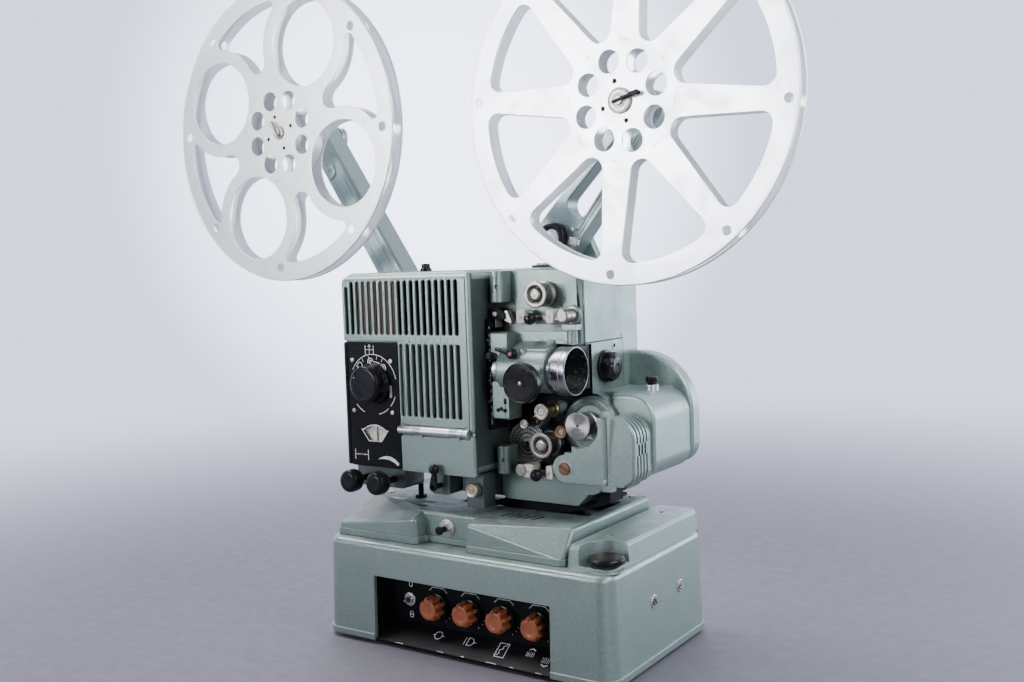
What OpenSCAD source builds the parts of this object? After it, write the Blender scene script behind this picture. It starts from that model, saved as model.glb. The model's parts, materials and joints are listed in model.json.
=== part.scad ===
// 16 mm film sound projector on an amplifier base, with two 600 m reels.
// Millimetres, +Z up. +X is the throw direction, -Y is the operator side.
// The origin lies on the floor under the middle of the base.

/* [Base] */
// length of the base along the throw
base_l = 400; // [360:1:440]
// depth of the base
base_w = 240; // [210:1:270]
// height of the flat top of the base
base_h = 121; // [110:1:130]
// height of the sheet deck above the floor
deck_z = 158; // [150:1:164]
// pitch of the four tone knobs
knob_pitch = 46.5; // [42:0.5:48]
// height of the tone knobs
knob_z = 50; // [46:0.5:56]
// lobes round each tone knob
knob_lobes = 8; // [6:1:12]

/* [Head] */
// lens axis height
axis_z = 324.4; // [318:0.2:330]
// film centre plane (operator side is negative)
film_y = -50; // [-52:0.5:-48]
// top of the lamp house and of the mechanism housing
head_top = 438; // [432:1:446]
// slots in the upper louvre row
louvres = 19; // [12:1:20]
// louvre pitch
louvre_pitch = 9.2; // [8:0.1:9.4]
// outer radius of the lens tube
tube_r = 25; // [24:0.5:27]

/* [Film path] */
// sprocket radius under the film
sprocket_r = 14; // [12:0.5:15]
// teeth on a sprocket
teeth = 12; // [8:1:16]
// sound drum radius
drum_r = 15.5; // [12:0.5:16]

/* [Reels] */
// reel radius
reel_r = 190; // [150:1:192]
// outside distance between the two flanges
reel_w = 20; // [18:0.5:20]
// spokes of the take-up reel
spokes = 8; // [6:1:10]
// round windows of the supply reel
round_windows = 4; // [4:1:5]

// radius of the drum that the film is wound on
core_r = 62; // [58:0.5:63]
// turn of the take-up reel at rest
turn_f = -5.5; // [-22:0.5:22]
// turn of the supply reel at rest
turn_r = -3; // [-22:0.5:22]

/* [Fits] */
// radial clearance of a running fit
fit = 0.06; // [0.02:0.01:0.1]

/* [Hidden] */
$fn = 48;
mid = [(301 + 190 - 193.5 - 190) / 2, 0.5];
hub_f = [193.5, 606.4];
hub_r = [-301, 621];
piv_f = [74, 472];
piv_r = [-150, 389];
spr_u = [82.5, 408.6];
spr_l = [84, 241.5];
drum = [132, 266];
plate_screws = [[-180, -60], [-180, 100], [178, -67], [130, 100]];
tilt_z = 161;
arm_f_l = norm(hub_f - piv_f);
arm_r_l = norm(hub_r - piv_r);
arm_f_a = atan2(hub_f[1] - piv_f[1], hub_f[0] - piv_f[0]);
arm_r_a = atan2(hub_r[1] - piv_r[1], hub_r[0] - piv_r[0]);
reel_y0 = film_y - reel_w / 2;
reel_y1 = film_y + reel_w / 2;
knob_x = [for (i = [0:3]) -46 + i * knob_pitch];
green = [0.56, 0.65, 0.61];
black = [0.07, 0.07, 0.08];
steel = [0.72, 0.72, 0.73];
brass = [0.72, 0.56, 0.32];
alu = [0.86, 0.87, 0.88];

// ---------- helpers ----------
// moves the drawing frame, which lies under the base, to the middle of the whole object
module place() translate([mid[0], mid[1], 0]) children();
module bx(x0, x1, y0, y1, z0, z1) translate([x0, y0, z0]) cube([x1 - x0, y1 - y0, z1 - z0]);
module cy(x, z, y0, y1, r) translate([x, y0, z]) rotate([-90, 0, 0]) cylinder(h = y1 - y0, r = r);
module cx(y, z, x0, x1, r) translate([x0, y, z]) rotate([0, 90, 0]) cylinder(h = x1 - x0, r = r);
module cz(x, y, z0, z1, r) translate([x, y, z0]) cylinder(h = z1 - z0, r = r);
// a 2-D outline drawn in X and Z, drawn out from y0 to y1
module xz(y0, y1) translate([0, y1, 0]) rotate([90, 0, 0]) linear_extrude(y1 - y0) children();
// a 2-D outline drawn in Y and Z, drawn out from x0 to x1
module yz(x0, x1) translate([x0, 0, 0]) rotate([90, 0, 90]) linear_extrude(x1 - x0) children();
// a turned profile (radius, distance) whose axis runs along +Y from y = 0
module turn_y(x, z) translate([x, 0, z]) rotate([-90, 0, 0]) rotate_extrude() children();
// rectangle with one radius for all corners
module rr(x0, x1, z0, z1, r) {
  translate([x0 + r, z0]) square([x1 - x0 - 2 * r, z1 - z0]);
  translate([x0, z0 + r]) square([x1 - x0, z1 - z0 - 2 * r]);
  for (x = [x0 + r, x1 - r], z = [z0 + r, z1 - r]) translate([x, z]) circle(r);
}
// rectangle with a top right and a bottom right radius
module rr_right(x0, x1, z0, z1, rt, rb) intersection() {
  union() {
    translate([x0, z0 + rb]) square([x1 - x0, z1 - z0 - rt - rb]);
    translate([x0, z0]) square([x1 - x0 - rb, rb + 1]);
    translate([x0, z1 - rt - 1]) square([x1 - x0 - rt, rt + 1]);
    translate([x1 - rt, z1 - rt]) circle(rt);
    translate([x1 - rb, z0 + rb]) circle(rb);
  }
  translate([x0, z0]) square([x1 - x0, z1 - z0]);
}
// bar with two round ends of unequal radius, from the origin along +x
module link2d(r1, r2, l) {
  s = (r1 - r2) / l;
  c = sqrt(1 - s * s);
  circle(r1);
  translate([l, 0]) circle(r2);
  a = r1 - 0.03;
  b = r2 - 0.03;
  polygon([[a * s, -a * c], [l + b * s, -b * c], [l + b * s, b * c], [a * s, a * c]]);
}
// flat plate with rounded corners, for hulls
module slab(l, w, r, z, h, dx = 0, dy = 0)
  translate([dx, dy, z]) linear_extrude(h) rr(-l / 2, l / 2, -w / 2, w / 2, r, $fn = 32);
// post with a domed top, for hulls
module post(x, y, z0, z1, r) {
  translate([x, y, z0]) cylinder(h = 1, r = r, $fn = 20);
  translate([x, y, z1 - r]) sphere(r, $fn = 20);
}

// ---------- base ----------
module base_housing() place() color(green) difference() {
  union() {
    difference() {
      hull() {
        slab(base_l - 3, base_w - 3, 20, 5, 1);
        slab(base_l - 9, base_w - 9, 18, base_h - 5, 1);
        slab(base_l - 16, base_w - 16, 15, base_h - 1, 1);
      }
      hull() {
        slab(base_l - 13, base_w - 13, 16, 4, 1);
        slab(base_l - 19, base_w - 19, 14, base_h - 6, 1);
      }
    }
    // bottom lip
    difference() {
      slab(base_l, base_w, 21, 5, 7);
      slab(base_l - 12, base_w - 12, 16, 4, 9);
    }
    // raised block along the right end
    hull() {
      slab(56, 218, 8, base_h - 2, 1, 164, 6);
      slab(53, 215, 8, 141, 1, 164, 6);
      slab(47, 209, 6, 145, 1, 164, 6);
    }
    // boss for the levelling screw
    cz(178, -88, 95, base_h - 1, 11);
    // bosses for the bottom plate
    for (p = plate_screws) cz(p[0], p[1], 9.2, base_h - 4, 7);
  }
  // hollow under the raised block
  bx(142, 186, -56, 108, base_h - 8, 141);
  // scallop round the levelling knob
  cz(178, -88, 125, 150, 26);
  bx(178, 215, -130, -62.5, 125, 150);
  bx(152.5, 215, -130, -88, 125, 150);
  // opening of the control recess
  bx(-121, 124, -130, -100, 0, 82);
  // hole under the deck
  bx(-170, 110, -40, 90, base_h - 12, base_h + 4);
  bx(-62, 0, -76, -39, base_h - 12, base_h + 4);
  // levelling screw
  cz(178, -88, 80, 140, 5 + fit);
  // bottom plate screws
  for (p = plate_screws) cz(p[0], p[1], 4, 20, 1.6);
  // side and top screws
  for (y = [-18.8, 46.8]) cx(y, 71, 185, 205, 4.5);
  for (y = [-46, 77]) cz(160, y, 138, 150, 3.4);
  // ventilation at the rear
  for (i = [0:11]) bx(-100 + i * 12, -95 + i * 12, 110, 125, 30, 80);
  // mains inlet and sound sockets at the rear
  bx(112, 140, 100, 125, 40, 62);
  for (x = [150, 168]) cy(x, 51, 100, 125, 6);
}

module base_plate() place() color(black) difference() {
  slab(386, 226, 15, 6, 3);
  bx(-123.5, 126.5, -130, -86, 0, 12);
  for (i = [0:9], y = [-40, 20]) bx(-90 + i * 18, -82 + i * 18, y, y + 44, 0, 12);
  for (p = plate_screws) cz(p[0], p[1], 0, 12, 2);
}

module base_feet() place() color([0.05, 0.05, 0.05])
  for (x = [-168, 168], y = [-92, 92]) difference() {
    translate([x, y, 0]) cylinder(h = 6, r1 = 10, r2 = 12);
    translate([x, y, -1]) cylinder(h = 4, r = 4);
  }

module deck_cover() place() color(green) difference() {
  union() {
    hull() for (x = [-184, 127], y = [-34, 98]) post(x, y, base_h, deck_z, 6);
    // left wedge, lower toward the end
    hull() {
      post(-185, -94, base_h, 137, 5);
      post(-74, -94, base_h, 152, 5);
      post(-75, -72, base_h, deck_z, 5);
      post(-184, -30, base_h, deck_z, 5);
    }
    // right wedge with its slanting facet
    hull() {
      post(9, -95, base_h, 154, 5);
      post(128, -95, base_h, 131.2, 5);
      post(128, -74, base_h, deck_z, 5);
      post(9, -84, base_h, deck_z, 5);
      post(128, -30, base_h, deck_z, 5);
      post(9, -30, base_h, deck_z, 5);
    }
    // back wall of the button notch
    hull() for (x = [-80, 12], y = [-75, -30]) post(x, y, base_h, deck_z, 5);
  }
  // hollow
  bx(-184, 126, -30, 97, base_h - 1, deck_z - 4);
  bx(-182, -80, -88, -29, base_h - 1, 131);
  bx(10, 126, -90, -29, base_h - 1, 125);
  bx(10, 126, -68, -29, base_h - 1, deck_z - 5);
  bx(-76, 11, -75, -29, base_h - 1, deck_z - 5);
  // button
  cy(-37, 140, -85, -70, 6);
  // air slots
  for (i = [0:4]) translate([33 + i * 10, -56, deck_z - 8]) rotate([0, 0, -24]) translate([-1.8, -9, 0]) cube([3.6, 18, 20]);
  // well under the rocker
  bx(-62, 118, -22, 58, deck_z - 8, deck_z + 4);
  // corner screws
  for (p = [[-172, -20], [-172, 88], [116, 88]]) cz(p[0], p[1], deck_z - 10, deck_z + 2, 2.2);
}

module control_panel() place() color(black) difference() {
  union() {
    yz(-121, 124) polygon([[-90, 82], [-90, 25], [-117, 6], [-117, 3.5], [-114, 3.5], [-87, 23], [-87, 82]]);
    bx(-123.4, -120.6, -111.1, -87, 5, 84);
    bx(123.6, 126.4, -111.1, -87, 5, 84);
    bx(-123.4, 126.4, -111.1, -87, 82.2, 85);
    for (x = knob_x) cy(x, knob_z, -88, -78, 6);
  }
  for (x = knob_x) cy(x, knob_z, -95, -70, 3 + fit);
  cy(-87, 52, -95, -80, 5.2);
}

module lobed(r, n, d) {
  circle(r - d);
  for (i = [0:n - 1]) rotate(360 / n * (i + 0.5)) translate([r - d - 0.6, 0]) circle(d + 0.6, $fn = 24);
}
module amp_knob(x) color([0.62, 0.30, 0.16]) translate([x, 0, knob_z]) {
  difference() {
    union() {
      xz(-109, -95) lobed(14.2, knob_lobes, 3.4);
      xz(-111.5, -108.9) circle(10.6);
      xz(-95.1, -92) circle(15);
      xz(-92.1, -74) circle(3);
    }
    // shallow dish in the face, and the pointer groove
    translate([0, -112, 0]) rotate([-90, 0, 0]) cylinder(h = 1.2, r1 = 7.6, r2 = 6.4);
    bx(-0.7, 0.7, -113, -110.9, 7, 12);
  }
}
module volume_knob() place() amp_knob(knob_x[0]);
module bass_knob() place() amp_knob(knob_x[1]);
module treble_knob() place() amp_knob(knob_x[2]);
module tone_knob() place() amp_knob(knob_x[3]);

module bushings() place() color(steel) {
  // toggle bushing with its nut, on the control panel
  difference() {
    union() {
      cy(-87, 52, -96.5, -82, 5);
      difference() {
        cy(-87, 52, -93.4, -90, 8);
        cy(-87, 52, -93.6, -92.4, 6.6);
      }
      translate([-87, -82.5, 52]) rotate([-90, 0, 0]) linear_extrude(16) square([15, 15], center = true);
    }
    cy(-87, 52, -97, -86, 3.6);
    cx(-88, 52, -91, -83, 2 + fit);
    bx(-90.6, -83.4, -91, -85, 48.4, 55.6);
  }
  // push-button bushing with its nut, on the deck
  difference() {
    union() {
      cy(-37, 140, -85.5, -64, 5.8);
      cy(-37, 140, -82.6, -80.2, 8.2);
      cy(-37, 140, -74.8, -72, 8.2);
    }
    cy(-37, 140, -90, -60, 3.5 + fit);
  }
}

module toggle_lever() place() color(steel) {
  cx(-88, 52, -90.4, -83.6, 2);
  translate([-87, -88, 52]) rotate([90, 0, 0]) cylinder(h = 15, r1 = 1.5, r2 = 2);
  translate([-87, -103.5, 52]) sphere(2.7);
}

module push_button() place() color(black) {
  cy(-37, 140, -95, -58, 3.5);
  cy(-37, 140, -97, -93, 4.6);
  cy(-37, 140, -62.4, -60, 5);
}

module levelling_knob() place() color(black) {
  difference() {
    translate([178, -88, 0]) rotate_extrude() polygon([[0, 126], [10, 126], [16, 128], [19.5, 129.5], [20, 131.5], [19.5, 134], [17.5, 135.2], [0, 135.2]]);
    for (i = [0:23]) rotate_about([178, -88], 15 * i) cz(178 + 20.6, -88, 126, 137, 1.1, $fn = 16);
  }
  cz(178, -88, 84, 127, 5);
}
module rotate_about(c, a) translate([c[0], c[1], 0]) rotate(a) translate([-c[0], -c[1], 0]) children();

module screw_y(x, y, z, r, h) difference() {
  cy(x, z, y - h, y, r);
  bx(x - r - 1, x + r + 1, y - h - 1, y - h + 0.7, z - 0.5, z + 0.5);
}
module base_screws() place() color(steel) {
  for (y = [-18.8, 46.8]) difference() {
    union() {
      cx(y, 71, 192.5, 197.2, 4.4);
      cx(y, 71, 197.05, 199.4, 6.4);
    }
    bx(198.2, 202, y - 0.7, y + 0.7, 66, 76);
  }
  for (y = [-46, 77]) difference() {
    cz(160, y, 138.5, 144.2, 3.3);
    bx(156, 164, y - 0.5, y + 0.5, 143.2, 146);
  }
  for (p = [[-172, -20], [-172, 88], [116, 88]]) difference() {
    cz(p[0], p[1], deck_z, deck_z + 2, 4);
    bx(p[0] - 5, p[0] + 5, p[1] - 0.5, p[1] + 0.5, deck_z + 1.1, deck_z + 4);
  }
}

module amp_chassis() place() color(steel) {
  // sheet tray
  difference() {
    bx(-168, 120, -70, 88, 9.2, 42);
    bx(-166, 118, -68, 86, 8, 40);
  }
  // mains transformer with its winding
  bx(-150, -90, -40, 40, 42.05, 96);
  bx(-154, -86, -24, 24, 56, 84);
  // output transformer
  bx(50, 92, 20, 70, 42.05, 80);
  // valves
  for (p = [[-50, 20], [-14, 20], [22, 30], [-50, -30], [-14, -30]]) {
    cz(p[0], p[1], 42.05, 48, 12);
    cz(p[0], p[1], 48, 88, 10.5);
    translate([p[0], p[1], 88]) sphere(10.5);
  }
}

module tilt_cradle() place() color(black) {
  difference() {
    union() {
      // tray under the deck well
      difference() {
        bx(-70, 124, -28.6, 64, deck_z - 12, deck_z - 4);
        bx(-66, 120, -25, 60.4, deck_z - 8.4, deck_z);
      }
      // two lugs for the tilt shaft
      for (y = [-15, 39]) {
        bx(28, 52, y, y + 10, deck_z - 9, tilt_z);
        cy(40, tilt_z, y, y + 10, 9);
      }
    }
    cy(40, tilt_z, -30, 70, 4 + fit);
  }
  // stop post at the rear left
  cz(-118, -26, deck_z + 0.02, deck_z + 4, 7);
  cz(-118, -26, deck_z + 3.9, deck_z + 26, 3.4);
}

// ---------- head ----------
module main_casting() place() color(green) difference() {
  union() {
    xz(-37, 54) rr(14.02, 127.5, 172, head_top, 7);
    // lower extension beside the motor
    xz(-37, -4) rr_right(110, 151, 186, 297, 26, 20);
  }
  // cavity
  bx(20, 122, -30, 60, 360, head_top - 6);
  bx(20, 122, -13, 60, 180, 361);
  // film recess, open to the wall of the lamp house
  xz(-45, -19) rr(5, 175, 206, 352, 9);
  // shafts
  cy(spr_u[0], spr_u[1], -45, -25, 4 + fit);
  cy(116, 385, -45, -25, 3.5 + fit);
  cy(spr_l[0], spr_l[1], -45, -5, 4 + fit);
  cy(56, 212, -45, -5, 3.5 + fit);
  cy(drum[0], drum[1], -45, -2, 4 + fit);
  for (p = [[88, 280], [63.6, 264.6], [109, 258]]) cy(p[0], p[1], -45, -5, 2.5 + fit);
  cx(10, axis_z, 118, 132, 4 + fit);
  cx(32, 346, 124, 130, 3);
  // radial air slots behind the lower sprocket
  for (i = [0:23]) translate([52, 0, 240]) rotate([0, 15 * i, 0]) bx(-0.9, 0.9, -22, -10, 18, 29);
  // chamfer under the front
  translate([127.5, -60, 172]) rotate([0, 45, 0]) translate([-9, 0, -9]) cube([18, 130, 18]);
}

// turned bosses on the floor of the film recess, and the ear and pin of the lens carrier
module bearing_bosses() place() color(green) {
  difference() {
    for (p = [spr_l, [88, 280], [63.6, 264.6], [109, 258]]) cy(p[0], p[1], -36, -19, 7);
    cy(56, 212, -36, -19, 5.5);
    cy(spr_l[0], spr_l[1], -45, -5, 4 + fit);
    cy(56, 212, -45, -5, 3.5 + fit);
    for (p = [[88, 280], [63.6, 264.6], [109, 258]]) cy(p[0], p[1], -45, -5, 2.5 + fit);
  }
  // round shield behind the sound drum
  difference() {
    cy(drum[0], drum[1], -35, -19, 19);
    cy(drum[0], drum[1], -45, -2, 4 + fit);
  }
  bx(109, 126, -50, -37, 369, 375);
  cz(118, -43, 352.6, 370, 3);
}

module lamp_house() place() color(green) difference() {
  union() {
    xz(-86, 0) rr(-178, 14, 205, head_top, 12);
    // flush front below the door
    xz(-90, -84) rr(-92, 14, 205, 247, 3);
    // right front column
    xz(-90, -84) rr(9, 14, 206, head_top - 2, 2);
    // block that carries the two lamp knobs
    xz(-82, -46) rr(-170, -96, 181, 212, 4);
    // lug of the mode lever
    xz(-84, -58) rr(-54, -28, 180, 212, 4);
    // knuckles of the door rod
    for (x = [-66, -12]) {
      cx(-91, 254, x - 6, x + 6, 5);
      bx(x - 6, x + 6, -91, -84, 244, 254);
    }
    // carrier of the rear arm shaft
    cy(piv_r[0], piv_r[1], -1, 4.6, 20);
  }
  // inside
  xz(-82, -4) rr(-174, 10, 217, head_top - 4, 9);
  // door opening
  bx(-168, 2, -88, -80, 362, 430);
  bx(-88, 2, -88, -80, 264, 363);
  // pocket of the meter
  bx(-160, -106, -87, -83.5, 226, 266);
  cy(-131, 307, -95, -78, 4 + fit);
  cx(-91, 254, -200, 40, 3.5 + fit);
  for (x = [-153, -112]) cy(x, 192, -90, -60, 4 + fit);
  cy(-41, 191, -90, -60, 3 + fit);
  // latch button
  cz(-60, -72, head_top - 10, head_top + 5, 3 + fit);
  // light path toward the gate
  cx(film_y, axis_z, 5, 20, 14);
  // air slots in the back and in the end wall
  for (i = [0:9]) bx(-92 + i * 9.2, -87 + i * 9.2, -10, 5, 250, 330);
  for (i = [0:5]) bx(-185, -170, -70 + i * 10, -65 + i * 10, 240, 400);
}

module rear_cover() place() color(green) difference() {
  xz(54.3, 92) rr(16, 127.5, 172, head_top, 7);
  xz(53, 88) rr(20, 123.5, 176, head_top - 4, 5);
  for (i = [0:8]) bx(34 + i * 9, 38.5 + i * 9, 80, 100, 300, 400);
  for (x = [24, 119], z = [182, head_top - 10]) cy(x, z, 80, 100, 2);
}

module tilt_rocker() place() color(black) {
  difference() {
    union() {
      // rocker with its round underside
      intersection() {
        xz(-20, 52) translate([40, 455]) circle(300, $fn = 128);
        union() {
          bx(-44, 129, -30, 60, 150, 171.9);
          bx(128, 147, -30, 9, 150, 185.9);
        }
      }
      // strap that carries the tilt knob
      bx(-14, 13.8, -48, -19, 165, 171.5);
      bx(-14, 10, -70, -47, 165, 204.9);
    }
    // gaps for the lugs of the cradle
    for (y = [-15.6, 38.4]) bx(25, 55, y, y + 11.2, 140, 171.3);
    cy(0, 187, -72, -40, 3 + fit);
  }
  // tilt shaft, held in the rocker
  cy(40, tilt_z, -20, 52, 4);
}

module tilt_knob() place() color(brass) {
  difference() {
    union() {
      cy(0, 187, -80, -71.2, 8.4);
      cy(0, 187, -81.6, -79.9, 7.2);
    }
    for (i = [0:15]) translate([0, 0, 187]) rotate([0, 22.5 * i, 0]) cy(8.8, 0, -80.6, -70, 0.8, $fn = 16);
    cy(0, 187, -83, -80.8, 3);
  }
  cy(0, 187, -71.4, -50, 3);
}

module head_panel() place() color(black) difference() {
  xz(-90, -86.05) rr(-175, -93.5, 206, 356, 3);
  cy(-131, 307, -95, -80, 4 + fit);
  // window of the meter
  xz(-95, -80) intersection() {
    translate([-133, 231]) circle(28);
    polygon([[-133, 220], [-154, 254], [-154, 262], [-112, 262], [-112, 254], [-133, 220]]);
    translate([-160, 236]) square([60, 30]);
  }
  for (x = [-164.5, -104.5], z = [273, 334]) cy(x, z, -95, -84, 1.2);
}

module meter_dial() place() color([0.92, 0.9, 0.84]) {
  bx(-158, -108, -84.3, -83.55, 228, 264);
  cy(-133, 232, -85.9, -84.2, 1.5);
}

module meter_needle() place() color([0.1, 0.1, 0.1]) difference() {
  union() {
    cy(-133, 232, -85.75, -84.65, 3);
    bx(-133.4, -132.6, -85.55, -84.85, 234, 256);
  }
  cy(-133, 232, -90, -80, 1.5 + fit);
}

module main_knob() place() color(black) {
  turn_y(-131, 307) polygon([[0, -110.5], [17, -110.5], [20.6, -109.6], [22, -107.6], [21.6, -96], [22, -95.2], [25, -94.6], [26.4, -93.4], [26.4, -91.2], [25, -90.4], [4, -90.4], [4, -70], [0, -70]]);
  // pointer
  bx(-132.2, -129.8, -108.6, -92, 327, 332);
}

module lamp_knob(x) color(black) turn_y(x, 192) polygon([[0, -121], [9, -121], [12.4, -119.4], [13.7, -116.5], [13.7, -108], [11.4, -103], [6.5, -99], [4, -98], [4, -64], [0, -64]]);
module lamp_knob_a() place() lamp_knob(-153);
module lamp_knob_b() place() lamp_knob(-112);

module mode_lever() place() color(black) {
  cy(-41, 191, -99, -62, 3);
  xz(-99.5, -95.5) translate([-41, 191]) rotate(84) link2d(5, 3, 16);
  translate([-39.3, -97.5, 211.5]) sphere(6);
}

module lamp_door() place() color(green) {
  difference() {
    union() {
      xz(-90, -86.3) rr(-177, 8, 357.2, 436, 5);
      xz(-90, -86.3) rr(-92.6, 8, 259.6, 362, 3);
      // arms that run to the rod
      for (x = [-92.6, -48, -4]) {
        bx(x, x + 12, -90, -87.4, 254, 262);
        cx(-91, 254, x, x + 12, 5);
      }
    }
    for (i = [0:louvres - 1]) xz(-95, -80) rr(-174 + i * louvre_pitch, -168 + i * louvre_pitch, 364.6, 428.3, 2.8, $fn = 24);
    for (i = [0:9]) xz(-95, -80) rr(-90.6 + i * 9.2, -84.6 + i * 9.2, 269.5, 354.4, 2.8, $fn = 24);
    for (x = [-66, -12]) bx(x - 6.6, x + 6.6, -100, -84, 240, 259.2);
  }
  // hinge rod
  cx(-91, 254, -92, 7.4, 3.5);
}

module door_latch() place() color(black) {
  cz(-60, -72, head_top - 14, head_top + 3, 3);
  cz(-60, -72, head_top + 4.5, head_top + 9, 6);
  cz(-60, -72, head_top + 2.9, head_top + 4.6, 4.4);
  cz(-60, -72, head_top - 14, head_top - 12, 5);
}

module lamp() place() color([0.85, 0.88, 0.9]) {
  cz(-64, -46, 217.1, 246, 15);
  cz(-64, -46, 245.9, 262, 12);
  translate([-64, -46, 0]) rotate_extrude() polygon([[0, 261.9], [11, 261.9], [12.5, 270], [17, 282], [18.5, 300], [18.5, 342], [14, 354], [6, 359], [0, 360]]);
}

module lamp_optics() place() color(alu) {
  // reflector on a post
  difference() {
    translate([-112, film_y, axis_z]) rotate([0, 90, 0]) rotate_extrude() polygon([[0, 0], [12, 1.6], [22, 6], [29, 13], [30, 12], [24, 4.4], [13, -0.8], [0, -2.4]]);
  }
  bx(-120, -113.4, film_y - 8, film_y + 8, 217.1, axis_z + 6);
  // condenser in its holder
  difference() {
    bx(-34, -6, film_y - 22, film_y + 22, 217.1, axis_z + 24);
    cx(film_y, axis_z, -40, 0, 17);
  }
  translate([-20, film_y, axis_z]) rotate([0, 90, 0]) cylinder(h = 10, r = 17, center = true);
}

module gate_plate() place() color([0.1, 0.1, 0.11]) difference() {
  union() {
    bx(15.2, 20.4, -63, -37.02, 256, 382);
    bx(15.2, 24, -40, -37.02, 256, 382);
    // inlet and outlet rails
    bx(15.2, 22.4, -58.5, -57, 262, 376);
    bx(15.2, 22.4, -43, -41.5, 262, 376);
  }
  bx(10, 30, film_y - 5.2, film_y + 5.2, axis_z - 3.8, axis_z + 3.8);
}

module film_guides() place() color(green) {
  for (s = [[18, 400, 436], [20, 205, 237]]) difference() {
    union() {
      bx(s[0], s[0] + 17, -52, -37.02, s[1], s[2]);
      translate([s[0] + 8.5, -52, s[1]]) cylinder(h = s[2] - s[1], r = 8.5);
    }
    cy(s[0] + 12, (s[1] + s[2]) / 2, -70, -57, 2.2);
  }
}

module lens_carrier() place() color(green) difference() {
  union() {
    // gate side plate
    yz(24, 46) rr(-66, -40.5, 269, 367, 3);
    // tube
    cx(film_y, axis_z, 40, 98, tube_r);
    // arm to the hinge
    bx(24, 112, -47, -40.5, 354, 367);
    cz(118, -43, 353.4, 368.4, 6);
    bx(110, 118, -47, -40.5, 354, 367);
    // boss of the focus shaft and of the clamp lever
    cy(90, 316, -86, -68, 9);
    cy(58, 344, -71, -60, 5.5);
  }
  cz(118, -43, 340, 380, 3 + fit);
  cx(film_y, axis_z, 20, 110, 21);
  cy(90, 316, -90, -70.6, 4 + fit);
  cy(58, 344, -75, -66, 2.5 + fit);
  for (z = [284, 304]) cy(30, z, -70, -63, 1.6);
}

module lens_barrel() place() color(steel) difference() {
  union() {
    cx(film_y, axis_z, 28, 112, 21 - fit);
    cx(film_y, axis_z, 106, 126, 26);
  }
  cx(film_y, axis_z, 20, 104, 17);
  translate([103.9, film_y, axis_z]) rotate([0, 90, 0]) cylinder(h = 23, r1 = 17, r2 = 24.2);
}

module lens_glass() place() color([0.5, 0.6, 0.7]) {
  intersection() {
    cx(film_y, axis_z, 92, 103, 17);
    translate([102 - 60, film_y, axis_z]) sphere(60, $fn = 64);
  }
  cx(film_y, axis_z, 36, 42, 17);
}

module focus_knob() place() color(black) difference() {
  turn_y(90, 316) polygon([[0, -110], [15, -110], [19.6, -109.2], [21.5, -107], [21.5, -100], [20, -98.2], [12, -97.4], [9, -94], [8, -87], [4, -86.4], [4, -71], [0, -71]]);
  cy(90, 316, -111, -109.4, 2.6);
  for (i = [0:35]) translate([90, 0, 316]) rotate([0, 10 * i, 0]) cy(21.9, 0, -107, -99, 0.7, $fn = 16);
}

module lens_lever() place() color(black) {
  cy(58, 344, -76.6, -67, 2.5);
  xz(-76.5, -71.4) translate([58, 344]) rotate(166) link2d(6, 2.6, 21);
}

module sprocket(p, yb) color(steel) {
  difference() {
    turn_y(p[0], p[1]) polygon([[0, -63], [5, -63], [5, -60.5], [9, -60.5], [9, -62], [sprocket_r + 0.6, -62], [sprocket_r + 0.6, -59.6], [sprocket_r - 1, -58.6], [sprocket_r - 1, -43.4], [sprocket_r + 0.6, -42.4], [sprocket_r + 0.6, -39], [4, -39], [4, yb], [0, yb]]);
    cy(p[0], p[1], -64, -62.2, 2);
  }
  for (i = [0:teeth - 1]) translate([p[0], 0, p[1]]) rotate([0, 360 / teeth * i, 0]) bx(-0.6, 0.6, -58.4, -56.8, sprocket_r - 1.4, sprocket_r + 1.2);
}
module upper_sprocket() place() sprocket(spr_u, -27);
module lower_sprocket() place() sprocket(spr_l, -8);

// film shoe: piv pivot, c sprocket centre, pads as offsets from c
module shoe(piv, c, pads, yb) color([0.8, 0.82, 0.78]) {
  cy(piv[0], piv[1], -62, -37.6, 6);
  cy(piv[0], piv[1], -37.7, yb, 3.5);
  // bar
  x0 = min(c + pads[0][0], piv[0]);
  x1 = max(c + pads[1][1], piv[0]);
  bx(x0, x1, -58, -48, piv[1] - 5, piv[1]);
  // two pads
  for (q = pads) bx(c + q[0], c + q[1], -61, -45, piv[1] - 6.5, piv[1] + 5);
  // grip
  cy(c - 3, piv[1] - 2.5, -66, -57.9, 2.2);
  translate([c - 3, -68, piv[1] - 2.5]) sphere(5.6);
}
module upper_shoe() place() shoe([116, 385], 82.5, [[-26, -14], [13, 22]], -27);
module lower_shoe() place() shoe([56, 212], 84, [[-25, -12], [5, 13]], -8);

module sound_drum() place() color(steel) turn_y(drum[0], drum[1]) polygon([[0, -62.5], [drum_r, -62.5], [drum_r, -59.5], [12, -58.5], [12, -42], [13, -41], [13, -37], [4, -37], [4, -8], [0, -8]]);

module roller(p, r, y0, c) color(c) difference() {
  turn_y(p[0], p[1]) polygon([[0, y0], [r - 1, y0], [r, y0 + 0.8], [r, y0 + 3], [r - 1.6, y0 + 4.2], [r - 1.6, -43.6], [r, -42.4], [r, -38], [2.5, -37.4], [2.5, -8], [0, -8]]);
  cy(p[0], p[1], y0 - 1, y0 + 1, r * 0.45);
}
module pressure_roller() place() roller([88, 280], 9, -66, brass);
module guide_roller() place() roller([63.6, 264.6], 5.4, -64, steel);
module tension_roller() place() roller([109, 258], 7.4, -60, brass);

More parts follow.
